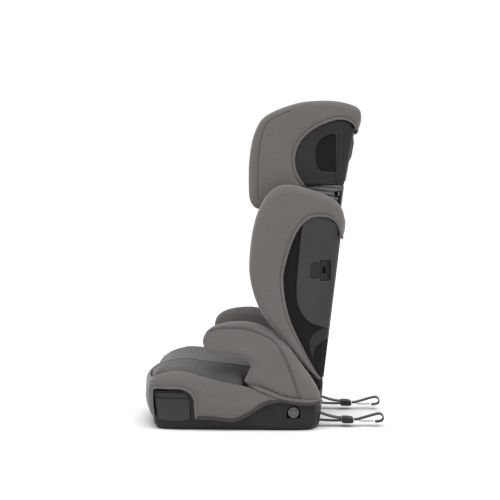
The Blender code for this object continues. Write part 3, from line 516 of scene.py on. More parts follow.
# ---------------------------------------------------------------- wing covers
HEM_ROWS = np.array([0.0, 0.0007, 0.0016, 0.0029, 0.0043, 0.0055, 0.0064, 0.0070, 0.0075, 0.0080,
                     0.0087, 0.0100, 0.0130])
HEM_WIDTH = 0.0075                 # rolled band along the hem
SEAM_ROWS = np.array([0.0030, 0.0018, 0.0009, 0.0])
TUCK_ROWS = 2                      # rows behind the hem, against the shell
GROOVE = TUCK_ROWS + 8             # sheet column along the hem's sewn groove
OUTER_END = TUCK_ROWS + len(HEM_ROWS) + 10 + len(SEAM_ROWS) - 1     # column at the front seam


def hem_profile(distance):
    """Height of the cloth near its hem: a rolled band, a sewn groove, then the padding."""
    band = 0.0011 * np.sqrt(np.clip(np.sin(np.pi * np.clip(distance / HEM_WIDTH, 0, 1)), 0, 1))
    groove = -0.0016 * np.exp(-((distance - HEM_WIDTH) / 0.0009) ** 2)
    rise = 0.0014 * np.clip((distance - HEM_WIDTH) / 0.012, 0, 1)
    return band + groove + rise


def wing_sheet(edge, hem, inner, outer_y, inner_y, roll, puff, inner_puff, seam=None, count=150):
    """A padded cover that starts at its hem, rolls round the wing's edge and runs inside."""
    even = np.linspace(0, 1, count)
    edge = along(smooth(edge), even)
    hem = matched(edge, smooth(hem))
    inner = matched(edge, np.array(inner, float), follow=0.9)
    normal = unit_normals(np.gradient(edge, axis=0))
    middle = edge.mean(axis=0)
    if np.sum((middle - edge) * normal) < 0:
        normal = -normal
    rows = []
    for u, (e, h, i, n) in enumerate(zip(edge, hem, inner, normal)):
        span = np.linalg.norm(e - h)
        depth = min(roll(even[u]), 0.45 * span)
        start = e + n * depth
        reach = max(np.linalg.norm(start - h), 1e-4)
        scale = min(1.0, reach / 0.030)
        near = HEM_ROWS * scale
        last = reach - SEAM_ROWS * scale
        crease = seam(even[u]) if seam else 0.0
        between = np.linspace(near[-1], last[0], 12)[1:-1]
        distance = np.concatenate([near, between, last])
        share = distance / reach
        flat = h + (start - h) * share[:, None]
        body = np.clip((distance - HEM_WIDTH * scale) / max(reach - HEM_WIDTH * scale, 1e-4), 0, 1)
        swell = puff * min(1.0, span / 0.07) * np.sin(np.pi * 0.5 * np.sqrt(body))
        y = outer_y(flat[:, 0], flat[:, 1]) + swell + hem_profile(distance / scale) * scale
        y -= crease * 0.0028 * np.exp(-((reach - distance) / 0.0016) ** 2)
        tuck = np.array([[h[0], outer_y(*h) - 0.0055, h[1]], [h[0], outer_y(*h) - 0.0025, h[1]]])
        outer_rows = np.stack([flat[:, 0], y, flat[:, 1]], axis=-1)
        y_out = outer_y(*start) + puff * min(1.0, span / 0.07) + hem_profile(reach / scale) * scale
        y_in = inner_y(*start) - inner_puff * 0.6
        half = (y_out - y_in) / 2
        angles = np.radians(np.linspace(-90, 90, 19)[1:-1])
        lean = 1.0 + 0.25 * crease
        bulge = depth * (1 - np.abs(np.cos(angles)) ** (1 / lean))
        around = e + n * bulge[:, None]
        roll_y = (y_out + y_in) / 2 - half * np.sin(angles)
        roll_rows = np.stack([around[:, 0], roll_y, around[:, 1]], axis=-1)
        share = np.linspace(0, 1, 16)
        face = start + (i - start) * share[:, None]
        drop = inner_puff * (0.6 + 0.4 * np.sin(np.pi * share)) * (1 - share ** 3)
        face_rows = np.stack([face[:, 0], inner_y(face[:, 0], face[:, 1]) - drop, face[:, 1]],
                             axis=-1)
        rows.append(np.concatenate([tuck, outer_rows, roll_rows, face_rows]))
    return closed_ends(np.array(rows))


END_TAPER = (0.12, 0.55, 0.80, 0.93, 0.98)


def closed_ends(rows):
    """Draws both ends of a sheet in towards their own middle, so that they look sewn shut."""
    for step, keep in enumerate(END_TAPER):
        for index in (step, len(rows) - 1 - step):
            middle = rows[index].mean(axis=0)
            rows[index] = middle + (rows[index] - middle) * keep
    return rows


def seam_path(sheet, column, lift=0.0):
    """The points of one column of a sheet, and its outward directions there."""
    points = sheet[:, column]
    ups = outward(len(points))
    return points + ups * lift, ups


def cover_from(name, sheet, finish, inside, thickness=0.0025):
    """Gives a sheet its cloth thickness."""
    made = grid_object(name, sheet, finish)
    facing_out(made, inside)
    return rebuilt(made, ("SOLIDIFY", {"thickness": thickness, "offset": -1.0}))


def torso_cover():
    """Padded torso wing covers with a rolled hem round the shell window."""
    inner = [(rear_x(0.122) - 0.040, 0.122), (rear_x(0.30) - 0.040, 0.30),
             (rear_x(0.470) - 0.040, 0.470), (0.206, 0.4790), (0.2300, 0.4775)]
    sheet = wing_sheet(WING_EDGE, WING_HEM, inner, wing_out, wing_in, lambda u: 0.016, 0.0035, 0.004)
    made = cover_from("torso_cover", sheet, FINISHES["grey_fabric"], (0.13, 0.17, 0.33))
    groove, ups = seam_path(sheet, GROOVE, 0.0002)
    # Stitches in the hem's groove, their darkness painted seam shade.
    made = joined(made, stitches("thread", groove[4:-4], ups[4:-4], SEAM_THREAD_AND_PAINTED_SHADE))
    both_sides(made, "backrest", "wing_cover")


HEAD_ROLL = smooth([(0.0, 0.010), (0.10, 0.0135), (0.18, 0.0195), (0.28, 0.0215), (0.42, 0.0205),
                    (0.56, 0.0150), (0.72, 0.0120), (1.0, 0.0120)], 5)


def head_roll(u):
    """Depth of the headrest wing's roll: deep along its front, shallow over the top."""
    return float(np.interp(u, HEAD_ROLL[:, 0], HEAD_ROLL[:, 1]))


def head_crease(u):
    """Strength of the seam where the front strip of the headrest meets its side."""
    return float(np.interp(u, [0.12, 0.20, 0.55, 0.75], [0.0, 1.0, 1.0, 0.0]))


def head_cover():
    """Padded headrest wing covers with a front seam and a rolled hem."""
    inner = [(head_rear_x(0.545) - 0.034, 0.545), (head_rear_x(0.62) - 0.034, 0.62),
             (head_rear_x(0.690) - 0.034, 0.690), (0.238, 0.7150), (0.262, 0.7030)]
    sheet = wing_sheet(HEAD_EDGE, HEAD_HEM, inner, head_out, head_in, head_roll, 0.003, 0.004,
                       head_crease)
    made = cover_from("head_cover", sheet, FINISHES["grey_fabric"], (0.15, 0.14, 0.62))
    groove, ups = seam_path(sheet, GROOVE, 0.0002)
    # Painted shade: a thin dark tube along the front seam darkens the crease; the groove's stitches use the
    # darkened thread.
    seam_shade_line, fold_ups = seam_path(sheet, OUTER_END, 0.0004)
    seam_shade_line = tube("seam_shade_line", seam_shade_line[27:98], 0.0006, SEAM_THREAD_AND_PAINTED_SHADE, sides=6, up=fold_ups[27:98])
    made = joined(made, stitches("thread", groove[6:-4], ups[6:-4], SEAM_THREAD_AND_PAINTED_SHADE), seam_shade_line)
    both_sides(made, "headrest", "headrest_cover")


# ---------------------------------------------------------------- padded pieces
def copy_of(node, name, finish):
    """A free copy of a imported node's mesh, to be reshaped."""
    made = bpy.data.objects.new(name, NODES[node].data.copy())
    bpy.context.scene.collection.objects.link(made)
    made.data.materials.clear()
    made.data.materials.append(finish)
    return made


def remeshed(made, voxel):
    """An even skin over a solid."""
    return rebuilt(made, ("REMESH", {"mode": "VOXEL", "voxel_size": voxel}))


FILL_STEPS = 20                    # frames of the cloth simulation


def blown(made, cap, pressure=4.0):
    """Fills a cover with a short cloth simulation, capped, and leaves a plain mesh."""
    scene = bpy.context.scene
    before = np.array([v.co for v in made.data.vertices])
    modifier = made.modifiers.new("fill", "CLOTH")
    modifier.settings.use_pressure = True
    modifier.settings.uniform_pressure_force = pressure
    modifier.settings.effector_weights.gravity = 0.0
    modifier.settings.quality = 4
    modifier.point_cache.frame_start = 1
    modifier.point_cache.frame_end = FILL_STEPS
    for step in range(1, FILL_STEPS + 1):
        scene.frame_set(step)
    graph = bpy.context.evaluated_depsgraph_get()
    after = np.array([v.co for v in made.evaluated_get(graph).data.vertices])
    made.modifiers.clear()
    scene.frame_set(1)
    move = after - before
    size = np.linalg.norm(move, axis=1)
    move *= (np.minimum(size, cap) / np.maximum(size, 1e-9))[:, None]
    made.data.vertices.foreach_set("co", (before + move).ravel())
    made.data.update()
    return made


def softened(made, iterations):
    """Smooths a remeshed cover and doubles its points."""
    return rebuilt(made, ("SMOOTH", {"factor": 0.5, "iterations": iterations}),
                   ("SUBSURF", {"levels": 1, "render_levels": 1}))


def reshaped(made, change):
    """Moves the points of a mesh by a function of their places and normals."""
    mesh = made.data
    places = np.array([v.co for v in mesh.vertices])
    normals = np.array([v.normal for v in mesh.vertices])
    mesh.vertices.foreach_set("co", change(places, normals).ravel())
    mesh.update()
    return made


def pressed_seam(made, paths, depth, width):
    """Sinks the surface along seam paths."""
    dense = np.concatenate([along(np.array(p, float), np.linspace(0, 1, 400)) for p in paths])
    tree = KDTree(len(dense))
    for index, point in enumerate(dense):
        tree.insert(point, index)
    tree.balance()

    def change(places, normals):
        gaps = np.array([tree.find(p)[2] for p in places])
        return places - normals * (depth * np.exp(-(gaps / width) ** 2))[:, None]

    return reshaped(made, change)


def surface_points(made, path, direction, start):
    """Where rays through path points meet a piece: points and normals."""
    graph = bpy.context.evaluated_depsgraph_get()
    tree = BVHTree.FromObject(made, graph)
    points, normals = [], []
    for place in path:
        origin = Vector(place) - Vector(direction) * start
        hit, normal, _, _ = tree.ray_cast(origin, Vector(direction))
        if hit is not None:
            points.append(np.array(hit))
            normals.append(np.array(normal))
    return np.array(points), np.array(normals)


SEAT_CREST = [(-0.2075, 0.1105), (-0.198, 0.1200), (-0.165, 0.1365), (-0.120, 0.1430),
              (-0.050, 0.134), (0.050, 0.124), (0.112, 0.1215), (0.146, 0.111)]
PLAIN_CREST = np.array([(-0.2075, 0.1135), (-0.187, 0.1295), (-0.150, 0.1412), (-0.090, 0.1402),
                        (-0.020, 0.130), (0.050, 0.124), (0.112, 0.1215), (0.146, 0.111)])
ARM_FOOT = [(0.010, 0.1075), (0.026, 0.1015), (0.056, 0.0910), (0.080, 0.0815), (0.100, 0.0735),
            (0.118, 0.0700), (0.140, 0.0672), (0.163, 0.0660), (0.182, 0.0672)]


def armrest_pad():
    """Filled armrest covers with a piped seam under the top band."""
    made = remeshed(copy_of("armrest_cover_right", "armrest_pad", FINISHES["grey_fabric"]), 0.004)
    reshaped(made, lambda places, normals: places - normals * 0.0008)
    blown(made, 0.005)
    made = softened(made, 4)
    foot = np.array(ARM_FOOT)

    def to_seam(places, normals):
        low = np.interp(places[:, 0], foot[:, 0], foot[:, 1])
        inside = np.clip((places[:, 0] - 0.004) / 0.012, 0, 1)
        inside *= np.clip((0.120 - places[:, 0]) / 0.02, 0, 1)
        share = np.clip(1 - (places[:, 2] - low) / 0.030, 0, 1) ** 2
        out = places.copy()
        out[:, 2] -= 0.0045 * share * inside
        return out

    reshaped(made, to_seam)
    line = [(x, 0.0, z) for x, z in along(smooth(ARM_SEAM), np.linspace(0, 1, 120))]
    points, normals = surface_points(made, line, (0, -1, 0), 0.4)
    pressed_seam(made, [points], 0.0022, 0.0030)
    # The piping's darkened cloth is painted seam shade.
    piping = tube("piping", points - normals * 0.0002, 0.0013, PIPING_AND_PAINTED_SHADE, up=normals)
    thread_line = [(x + 0.004, 0.0, z - 0.0045)
                   for x, z in along(smooth(ARM_SEAM), np.linspace(0.04, 0.98, 120))]
    points, normals = surface_points(made, thread_line, (0, -1, 0), 0.4)
    # Stitches below the piping, their darkness painted seam shade.
    sewn = stitches("thread", points, normals, SEAM_THREAD_AND_PAINTED_SHADE)
    gusset = []
    for x, z in along(smooth(ARM_FOOT[1:]), np.linspace(0, 1, 60)):
        inward = 0.0030 + 0.10 * max(0.0, x - 0.115) + 0.020 * max(0.0, (x - 0.172) / 0.010) ** 2
        inward += 0.65 * max(0.0, 0.047 - x)
        gusset.append((x, 0.2085 - inward, z + 0.0015))
    gusset = tube("gusset", gusset, 0.0052, FINISHES["grey_fabric"], sides=12,
                  up=outward(len(gusset)))
    made = joined(made, piping, sewn, gusset)
    both_sides(made, "base", "armrest_cover")


def armrest_binding():
    """Dark binding along the foot of the armrest covers, round the rear corner."""
    line = smooth([(0.066, 0.0640), (0.080, 0.0672), (0.097, 0.0705), (0.118, 0.0680),
                   (0.140, 0.0645), (0.163, 0.0632), (0.180, 0.0650), (0.1880, 0.0665)], 6)
    y = 0.2089 - 0.10 * np.clip(line[:, 0] - 0.115, 0, 1) - 0.25 * np.clip(0.092 - line[:, 0], 0, 1)
    y -= 0.020 * np.clip((line[:, 0] - 0.180) / 0.008, 0, 1) ** 2
    path = np.stack([line[:, 0], y, line[:, 1]], axis=-1)
    binding = tube("armrest_binding", path, 0.0036, HEM_CLOTH, sides=12, flat=0.55,
                   up=outward(len(path)))
    both_sides(binding, "base")


def seat_crown(places, normals):
    """Rounds the kinks that a plain solid leaves in the seat's side profile."""
    crest = smooth(SEAT_CREST, 6)
    plain = np.interp(places[:, 0], PLAIN_CREST[:, 0], PLAIN_CREST[:, 1])
    wanted = np.interp(places[:, 0], crest[:, 0], crest[:, 1])
    share = np.clip((places[:, 2] - 0.095) / 0.020, 0, 1)
    out = places.copy()
    out[:, 2] += (wanted - plain) * share
    return out


def seat_pad():
    """Seat cushion with two seams along its insert."""
    made = remeshed(copy_of("seat_cushion", "seat_pad", FINISHES["dark_fabric"]), 0.005)
    blown(made, 0.005)
    made = softened(made, 14)
    reshaped(made, seat_crown)
    paths = []
    for side in (1, -1):
        line = [(x, side * (CUSHION_SEAM + 0.010 * (x < -0.15) * (-0.15 - x) / 0.06), 0.0)
                for x in np.linspace(-0.200, 0.060, 80)]
        paths.append(surface_points(made, line, (0, 0, -1), 0.5))
    pressed_seam(made, [p for p, _ in paths], 0.0030, 0.0040)
    extras = [tube("piping", points - normals * 0.0016, 0.0013, HEM_CLOTH, up=normals)
              for points, normals in paths]
    made = joined(made, *extras)
    settle(made, "base", ("seat_cushion",))


def pad_from(node, name, body, finish, voxel, cap, lines, foot=0.0):
    """A filled pad made from a plain solid, with piped seams along lines of Y and Z."""
    made = remeshed(copy_of(node, name, finish), voxel)
    blown(made, cap)
    made = softened(made, 6)
    low = min(v.co.z for v in made.data.vertices)

    def lengthen(places, normals):
        share = np.clip((low + 0.045 - places[:, 2]) / 0.045, 0, 1)
        return places - np.stack([0 * share, 0 * share, foot * share], axis=-1)

    reshaped(made, lengthen)
    paths = []
    for line in lines:
        path = [(0.0, y, z) for y, z in along(smooth(line), np.linspace(0, 1, 90))]
        paths.append(surface_points(made, path, (1, 0, 0), 0.6))
    pressed_seam(made, [p for p, _ in paths], 0.0026, 0.0040)
    extras = [tube("piping", points - normals * 0.0014, 0.0011, HEM_CLOTH, up=normals)
              for points, normals in paths]
    made = joined(made, *extras)
    return settle(made, body, (node,))


BACK_SEAMS = [[(side * 0.098, 0.132), (side * 0.104, 0.25), (side * 0.108, 0.36), (side * 0.112, 0.432)]
              for side in (1, -1)]
HEAD_SEAMS = [[(-0.100, 0.552), (-0.050, 0.546), (0.0, 0.544), (0.050, 0.546), (0.100, 0.552)]]


# ---------------------------------------------------------------- embossed panels
def inside_outline(points, outline):
    """Which points lie inside a closed outline."""
    x, y = points[:, 0], points[:, 1]
    a, b = outline, np.roll(outline, -1, axis=0)
    crossings = np.zeros(len(points), int)
    for (ax, ay), (bx, by) in zip(a, b):
        spans = (ay > y) != (by > y)
        with np.errstate(divide="ignore", invalid="ignore"):
            at = (bx - ax) * (y - ay) / (by - ay) + ax
        crossings += spans & (x < at)
    return crossings % 2 == 1


def closed_even(points, pitch):
    """A closed outline with points at an even pitch."""
    ring = np.vstack([points, points[:1]])
    count = max(8, int(lengths(ring)[-1] / pitch))
    return along(ring, np.linspace(0, 1, count, endpoint=False))


RING_STEPS = (0.0005, 0.0012, 0.0022, 0.0036, 0.0050, 0.0062, 0.0070, 0.0076, 0.0084, 0.0100, 0.0130)


def embossed(name, outline, place, profile, finish, holes=(), pitch=0.0022, grid=0.0055,
             rings=RING_STEPS, thickness=0.003, edge_finish=None, edge_test=None):
    """A panel cut to an outline, whose height follows the distance from its nearest edge."""
    loops = [closed_even(np.asarray(loop, float), pitch) for loop in (outline, *holes)]
    border = np.concatenate(loops)
    tree = KDTree(len(border))
    for index, (a, b) in enumerate(border):
        tree.insert((a, b, 0.0), index)
    tree.balance()

    def gaps(points):
        return np.array([tree.find((a, b, 0.0))[1:] for a, b in points])

    candidates = []
    for loop in loops:
        normal = unit_normals(np.roll(loop, -1, axis=0) - np.roll(loop, 1, axis=0))
        for step in rings:
            for sign in (1, -1):
                ring = loop + sign * normal * step
                keep = gaps(ring)[:, 1] > 0.93 * step
                candidates.append(ring[keep])
    low, high = border.min(axis=0), border.max(axis=0)
    xs = np.arange(low[0], high[0], grid)
    ys = np.arange(low[1], high[1], grid)
    mesh = np.array([(x + (0.5 * grid if row % 2 else 0.0), y) for row, y in enumerate(ys) for x in xs])
    candidates.append(mesh[gaps(mesh)[:, 1] > rings[-1] + 0.5 * grid])
    inner = np.concatenate(candidates)
    keep = inside_outline(inner, loops[0])
    for hole in loops[1:]:
        keep &= ~inside_outline(inner, hole)
    points = np.concatenate([border, inner[keep]])
    edges, start = [], 0
    for loop in loops:
        count = len(loop)
        edges += [(start + i, start + (i + 1) % count) for i in range(count)]
        start += count
    made = delaunay_2d_cdt([Vector(p) for p in points], edges, [], 0, 1e-7)
    flat = np.array([tuple(p) for p in made[0]])
    faces = made[2]
    middles = np.array([flat[list(f)].mean(axis=0) for f in faces])
    good = inside_outline(middles, loops[0])
    for hole in loops[1:]:
        good &= ~inside_outline(middles, hole)
    faces = [f for f, ok in zip(faces, good) if ok]
    found = gaps(flat)
    nearest, distance = border[found[:, 0].astype(int)], found[:, 1]
    height = profile(distance, nearest, flat)
    placed = place(flat[:, 0], flat[:, 1], height)
    result = add_object(name, placed, faces, finish)
    if edge_finish is not None:
        result.data.materials.append(edge_finish)
        for polygon in result.data.polygons:
            own = list(polygon.vertices)
            if distance[own].mean() < HEM_WIDTH and edge_test(nearest[own].mean(axis=0)):
                polygon.material_index = 1
    facing_out(result, CORE)
    return rebuilt(result, ("SOLIDIFY", {"thickness": thickness, "offset": -1.0}))


CORE = (0.02, 0.0, 0.10)
COVER_PROUD = 0.0075               # base cover, outside the rim's sides
FRONT_X, FRONT_BOW = -0.2120, 0.0135   # front of the base, and how far its ends lie behind it
FRONT_PROUD = 0.0065
SIDE_COUNT = 60
FRONT_TOP = 0.1125


def skirt_plan():
    """Plan line of the base cover, from the rear of the right side to the rear of the left."""
    xs = np.linspace(0.0985, -0.183, SIDE_COUNT)
    side = [(x, base_half_width(x) + COVER_PROUD) for x in xs]
    bow = [(FRONT_X + FRONT_BOW * (y / 0.144) ** 2 - FRONT_PROUD, y)
           for y in (0.144, 0.115, 0.080, 0.040, 0.0)]
    corner = smooth([side[-1], (-0.1915, 0.1885), (-0.1965, 0.1800), (-0.2000, 0.1650), *bow], 5)
    half = np.vstack([side[:-1], corner])
    return np.vstack([half, (half * (1, -1))[::-1][1:]])


def base_skirt():
    """Light cover round the base: both sides and the front, with windows for the cup drawers."""
    plan = skirt_plan()
    run = lengths(plan)
    total = run[-1]
    half_end = len(plan) // 2 + 1
    side_x, side_s = plan[:half_end, 0][::-1], run[:half_end][::-1]

    def at(x):
        return float(np.interp(x, side_x, side_s))

    rear_edge = [(at(x), z) for x, z in reversed(PANEL_TOP)]
    top = rear_edge + [(at(-0.184), 0.1235), (at(-0.1935), 0.1180), (at(-0.2000), 0.1150),
                            (at(-0.2060), 0.1132), (total / 2, FRONT_TOP)]
    hem = [(at(x), z) for x, z in reversed(PANEL_HEM)]
    window = [(at(x), z) for x, z in reversed(WINDOW)]
    left_post = [(at(-0.1780), 0.0932), (at(-0.1855), 0.0915), (at(-0.1880), 0.0860),
                 (at(-0.1885), 0.0600), (at(-0.1890), 0.0320), (at(-0.1905), 0.0275)]
    front = [(at(-0.198), 0.0262), (at(-0.204), 0.0262), (total / 2, 0.0265)]
    low = np.vstack([smooth(hem, 5), smooth(window, 5)[1:], smooth(left_post, 5),
                     smooth(front, 5)])
    high = smooth(top, 6)
    low = np.vstack([low, (low * (-1, 1) + (total, 0))[::-1][1:]])
    high = np.vstack([high, (high * (-1, 1) + (total, 0))[::-1][1:]])
    outline = np.vstack([low, high[::-1][1:-1]])

    def is_top(nearest):
        s = np.minimum(nearest[:, 0], total - nearest[:, 0])
        return nearest[:, 1] > np.interp(s, high[:len(high) // 2, 0], high[:len(high) // 2, 1]) - 0.002

    def profile(distance, nearest, flat):
        s = np.minimum(nearest[:, 0], total - nearest[:, 0])
        roll = np.interp(s, [at(0.03), at(0.0)], [0.003, 0.012])
        inward = roll - np.sqrt(np.clip(roll ** 2 - (roll - np.clip(distance, 0, roll)) ** 2, 0, None))
        crown = 0.0045 * np.sin(np.pi / 2 * np.clip(distance / 0.035, 0, 1))
        edge = -0.0010 * (1 - np.sqrt(np.clip(distance / 0.0012, 0, 1)))
        plain = hem_profile(distance) + edge + 0.6 * crown
        return np.where(is_top(nearest), -0.75 * inward + 0.6 * crown, plain)

    normal = unit_normals(np.gradient(plan, axis=0))
    if normal[SIDE_COUNT // 2][1] < 0:
        normal = -normal

    def place(s, z, height):
        x, y = np.interp(s, run, plan[:, 0]), np.interp(s, run, plan[:, 1])
        nx, ny = np.interp(s, run, normal[:, 0]), np.interp(s, run, normal[:, 1])
        taper = -0.0065 * np.clip((0.075 - z) / 0.050, 0, 1) ** 1.6 * np.clip(-nx, 0, 1)
        taper -= 0.0035 * np.clip((0.060 - z) / 0.040, 0, 1) ** 1.5
        off = height + taper
        return np.stack([x + nx * off, y + ny * off, z], axis=-1)

    def is_binding(nearest):
        s = min(nearest[0], total - nearest[0])
        return s < at(-0.0935) and nearest[1] < np.interp(s, high[:60, 0], high[:60, 1]) - 0.003

    made = embossed("base_skirt", outline, place, profile, FINISHES["grey_fabric"],
                    thickness=0.0030, edge_finish=HEM_CLOTH, edge_test=is_binding)
    settle(made, "base", ("side_cover_right", "side_cover_left", "front_cover"))


def moulded_edge(raise_by, radius):
    """Height of a moulded panel with a rounded edge."""
    def profile(distance, nearest, flat):
        near = np.clip(distance / radius, 0, 1)
        return raise_by * np.sqrt(np.clip(1 - (1 - near) ** 2, 0, 1))
    return profile


SHELL_BEND = 0.024                 # rear corner radius of both shells
THIN_RINGS = (0.0005, 0.0012, 0.0022, 0.0040, 0.0080)     # rows of points in from a panel's edge


def shell_place(offset, outer=None, rear=None):
    """Places panels of a shell at an offset from its outer wall, round its rear corner."""
    outer, rear = outer or wing_out, rear or rear_x

    def place(x, z, height):
        pivot = rear(z) - SHELL_BEND
        cosine = np.clip((x - pivot) / SHELL_BEND, 0, 1)
        sine = np.sqrt(1 - cosine ** 2)
        off = offset + height
        flat = x < pivot
        wide = outer(np.where(flat, x, pivot), z) - SHELL_INSET
        y = np.where(flat, wide + off, wide - SHELL_BEND + (SHELL_BEND + off) * sine)
        return np.stack([x + np.where(flat, 0.0, off * cosine), y, z], axis=-1)
    return place


def round_box(x0, z0, x1, z1, radius, steps=5):
    """A rectangle with round corners."""
    out = []
    for cx, cz, start in ((x1 - radius, z1 - radius, 0), (x0 + radius, z1 - radius, 90),
                          (x0 + radius, z0 + radius, 180), (x1 - radius, z0 + radius, 270)):
        for a in np.radians(np.linspace(start, start + 90, steps + 1)):
            out.append((cx + radius * math.cos(a), cz + radius * math.sin(a)))
    return np.array(out)


def shell_panels():
    """Raised rear panel, a dark sheet of painted shade over the channel ahead of it, and the lip under the
    catch.
    """
    front = smooth([(0.149, 0.486), (0.1425, 0.4550), (0.1350, 0.3800), (0.1305, 0.3190),
                    (0.1345, 0.2770), (0.1575, 0.2425), (0.1920, 0.2285)], 6)
    rear = [(rear_x(z) - 0.0020, z) for z in (0.2270, 0.30, 0.38, 0.44)]
    rear += [(0.2200, 0.460), (0.205, 0.472), (0.190, 0.480)]
    outline = np.vstack([front, rear])
    catch = round_box(0.1832, 0.3332, 0.2068, 0.3788, 0.0025)
    scoop = round_box(0.1625, 0.3380, 0.1812, 0.3740, 0.0050)
    panel = embossed("shell_panel", outline, shell_place(-0.0012), moulded_edge(0.0030, 0.0028),
                     SHELL_LIGHT, holes=(catch, scoop), rings=THIN_RINGS, grid=0.010, thickness=0.0015)
    lip_line = smooth([(0.150, 0.3300), (0.160, 0.3235), (0.180, 0.3195), (0.2085, 0.3180)], 6)
    lip_points = np.stack([lip_line[:, 0], wing_out(*lip_line.T) - SHELL_INSET + 0.0018, lip_line[:, 1]],
                          axis=-1)
    lip = tube("lip", lip_points, 0.0011, SHELL_LIGHT, sides=8, flat=0.5,
               up=outward(len(lip_points)))
    panel = joined(panel, lip, one_finish=True)
    both_sides(panel, "backrest")
    hem = smooth(WING_HEM, 4)
    ahead = hem[:34] + np.array([-0.004, 0.0])
    back = [(0.150, 0.470), *[tuple(p) for p in front[4:]], (0.1860, 0.2262), (0.1700, 0.2160),
            (0.1600, 0.2000), (0.1615, 0.1800), (0.1680, 0.1600), (0.1765, 0.1200)]
    channel = np.vstack([ahead, back])
    # Painted shade: a thin dark sheet that darkens the recessed channel ahead of the raised panel.
    made = embossed("shell_channel", channel, shell_place(-0.0021), moulded_edge(0.0005, 0.001),
                    DARK_MOULDING_AND_PAINTED_SHADE, rings=THIN_RINGS, grid=0.012, thickness=0.0006)
    both_sides(made, "backrest")


def cheek_insert():
    """Dark cheek that fills the cut-out at the foot of the shell."""
    arc = [(0.206 + 0.0395 * math.cos(a), 0.164 + 0.0395 * math.sin(a))
           for a in np.radians(np.linspace(112, 205, 14))]
    rear = [(rear_x(z) - 0.0050, z) for z in (0.1125, 0.15, 0.2035)]
    outline = np.vstack([arc, rear])

    def place(x, z, height):
        bend = np.clip((x - (rear_x(z) - 0.024)) / 0.020, 0, 1)
        return np.stack([x, wing_out(x, z) - 0.0100 - 0.014 * bend ** 2 + height, z], axis=-1)

    made = embossed("foot_cheek", outline, place, moulded_edge(0.0008, 0.002), DARK_MOULDING_AND_PAINTED_SHADE,
                    grid=0.006, thickness=0.002)
    both_sides(made, "backrest", "lower_insert")


def head_panels():
    """Side panels of the headrest shell with their D-shaped pocket, painted shade inside the pocket, and a
    rib behind it.
    """
    hem = smooth(HEAD_HEM, 5)
    ahead = hem[2:34] + np.array([-0.0035, 0.0])
    rear = [(head_rear_x(z) - 0.0030, z) for z in (0.679, 0.62, 0.5455)]
    outline = np.vstack([ahead, [(0.232, 0.692), (0.246, 0.689)], rear, [(0.150, 0.5455)]])
    pocket = np.array([(0.2165, 0.6590), *[(0.2135 + 0.0405 * math.cos(a), 0.6185 + 0.0405 * math.sin(a))
                                           for a in np.radians(np.linspace(92, 180, 14))],
                       (0.1745, 0.5950), (0.1790, 0.5820), (0.1880, 0.5765), (0.2165, 0.5745)])
    panel = embossed("head_panel", outline, shell_place(-0.0002, head_out, head_rear_x),
                     moulded_edge(0.0022, 0.0026), FINISHES["shell_plastic"], holes=(pocket,),
                     rings=THIN_RINGS, grid=0.010, thickness=0.0012)
    rib_line = smooth([(0.2300, 0.6700), (0.2290, 0.6400), (0.2240, 0.5900), (0.2190, 0.5520)], 6)
    rib_points = np.stack([rib_line[:, 0], head_out(*rib_line.T) - SHELL_INSET + 0.0014, rib_line[:, 1]],
                          axis=-1)
    rib = tube("rib", rib_points, 0.0055, FINISHES["shell_plastic"], sides=12, flat=0.55,
               up=outward(len(rib_points)))
    panel = joined(panel, rib, one_finish=True)
    both_sides(panel, "headrest")
    # Painted shade: a dark sheet inside each D-shaped pocket darkens the recess.
    centre = pocket.mean(axis=0)
    floor = embossed("pocket_painted_shade", centre + (pocket - centre) * 1.03,
                     shell_place(-0.0016, head_out, head_rear_x), moulded_edge(0.0003, 0.001),
                     DARK_MOULDING_AND_PAINTED_SHADE, rings=THIN_RINGS, grid=0.012, thickness=0.0005)
    both_sides(floor, "headrest")


RIB_PITCH, RIB_HEIGHT = 0.0092, 0.0032
GUIDE_FACE = 0.1328                # half spacing of the belt guides' outer faces
WEB_FACE = 0.1258                  # and of the dark sheets of painted shade behind their mouths


def neck():
    """Ribbed belt guides under the headrest, painted shade behind their mouths, and the two posts behind
    them.
    """
    outline = np.array([(0.1495, 0.5445), (0.1495, 0.5160), (0.1540, 0.5075), (0.2180, 0.5075),
                        (0.2240, 0.5135), (0.2222, 0.5180), (0.2150, 0.5190), (0.2150, 0.5312),
                        (0.2222, 0.5320), (0.2290, 0.5324), (0.2330, 0.5400), (0.2280, 0.5450)])

    def ribs(distance, nearest, flat):
        lean = 0.10 * (flat[:, 0] - 0.150)
        wave = np.abs(np.sin((flat[:, 1] + lean - 0.5075) / RIB_PITCH * math.pi))
        return moulded_edge(0.0016, 0.0020)(distance, nearest, flat) + RIB_HEIGHT * (wave - 0.6)

    def place(x, z, height):
        return np.stack([x, np.full_like(x, GUIDE_FACE) + height, z], axis=-1)

    guide = embossed("belt_guide_cheek", outline, place, ribs, RIB_GREY, pitch=0.0012, grid=0.0017,
                     rings=(0.0005, 0.0012, 0.0020), thickness=0.0085)
    both_sides(guide, "headrest", "belt_guide")
    # Painted shade: a dark sheet behind each guide's mouth darkens the opening.
    mouth_shade = round_box(0.196, 0.5110, 0.2280, 0.5400, 0.002)
    mouth_shade = embossed("belt_guide_mouth_shade", mouth_shade, lambda x, z, height: np.stack([x, WEB_FACE + height, z], axis=-1),
                   moulded_edge(0.0004, 0.001), DARK_MOULDING_AND_PAINTED_SHADE, rings=(0.0005, 0.0012), grid=0.008,
                   thickness=0.0014)
    both_sides(mouth_shade, "headrest")
    post_path = [(rear_x(z) - 0.0095, 0.070, z) for z in np.linspace(0.450, 0.544, 12)]
    post = tube("neck_post", post_path, 0.0215, FINISHES["grey_plastic"], sides=24, flat=0.185,
                up=np.tile([1.0, 0.0, 0.0], (len(post_path), 1)))
    both_sides(post, "headrest")


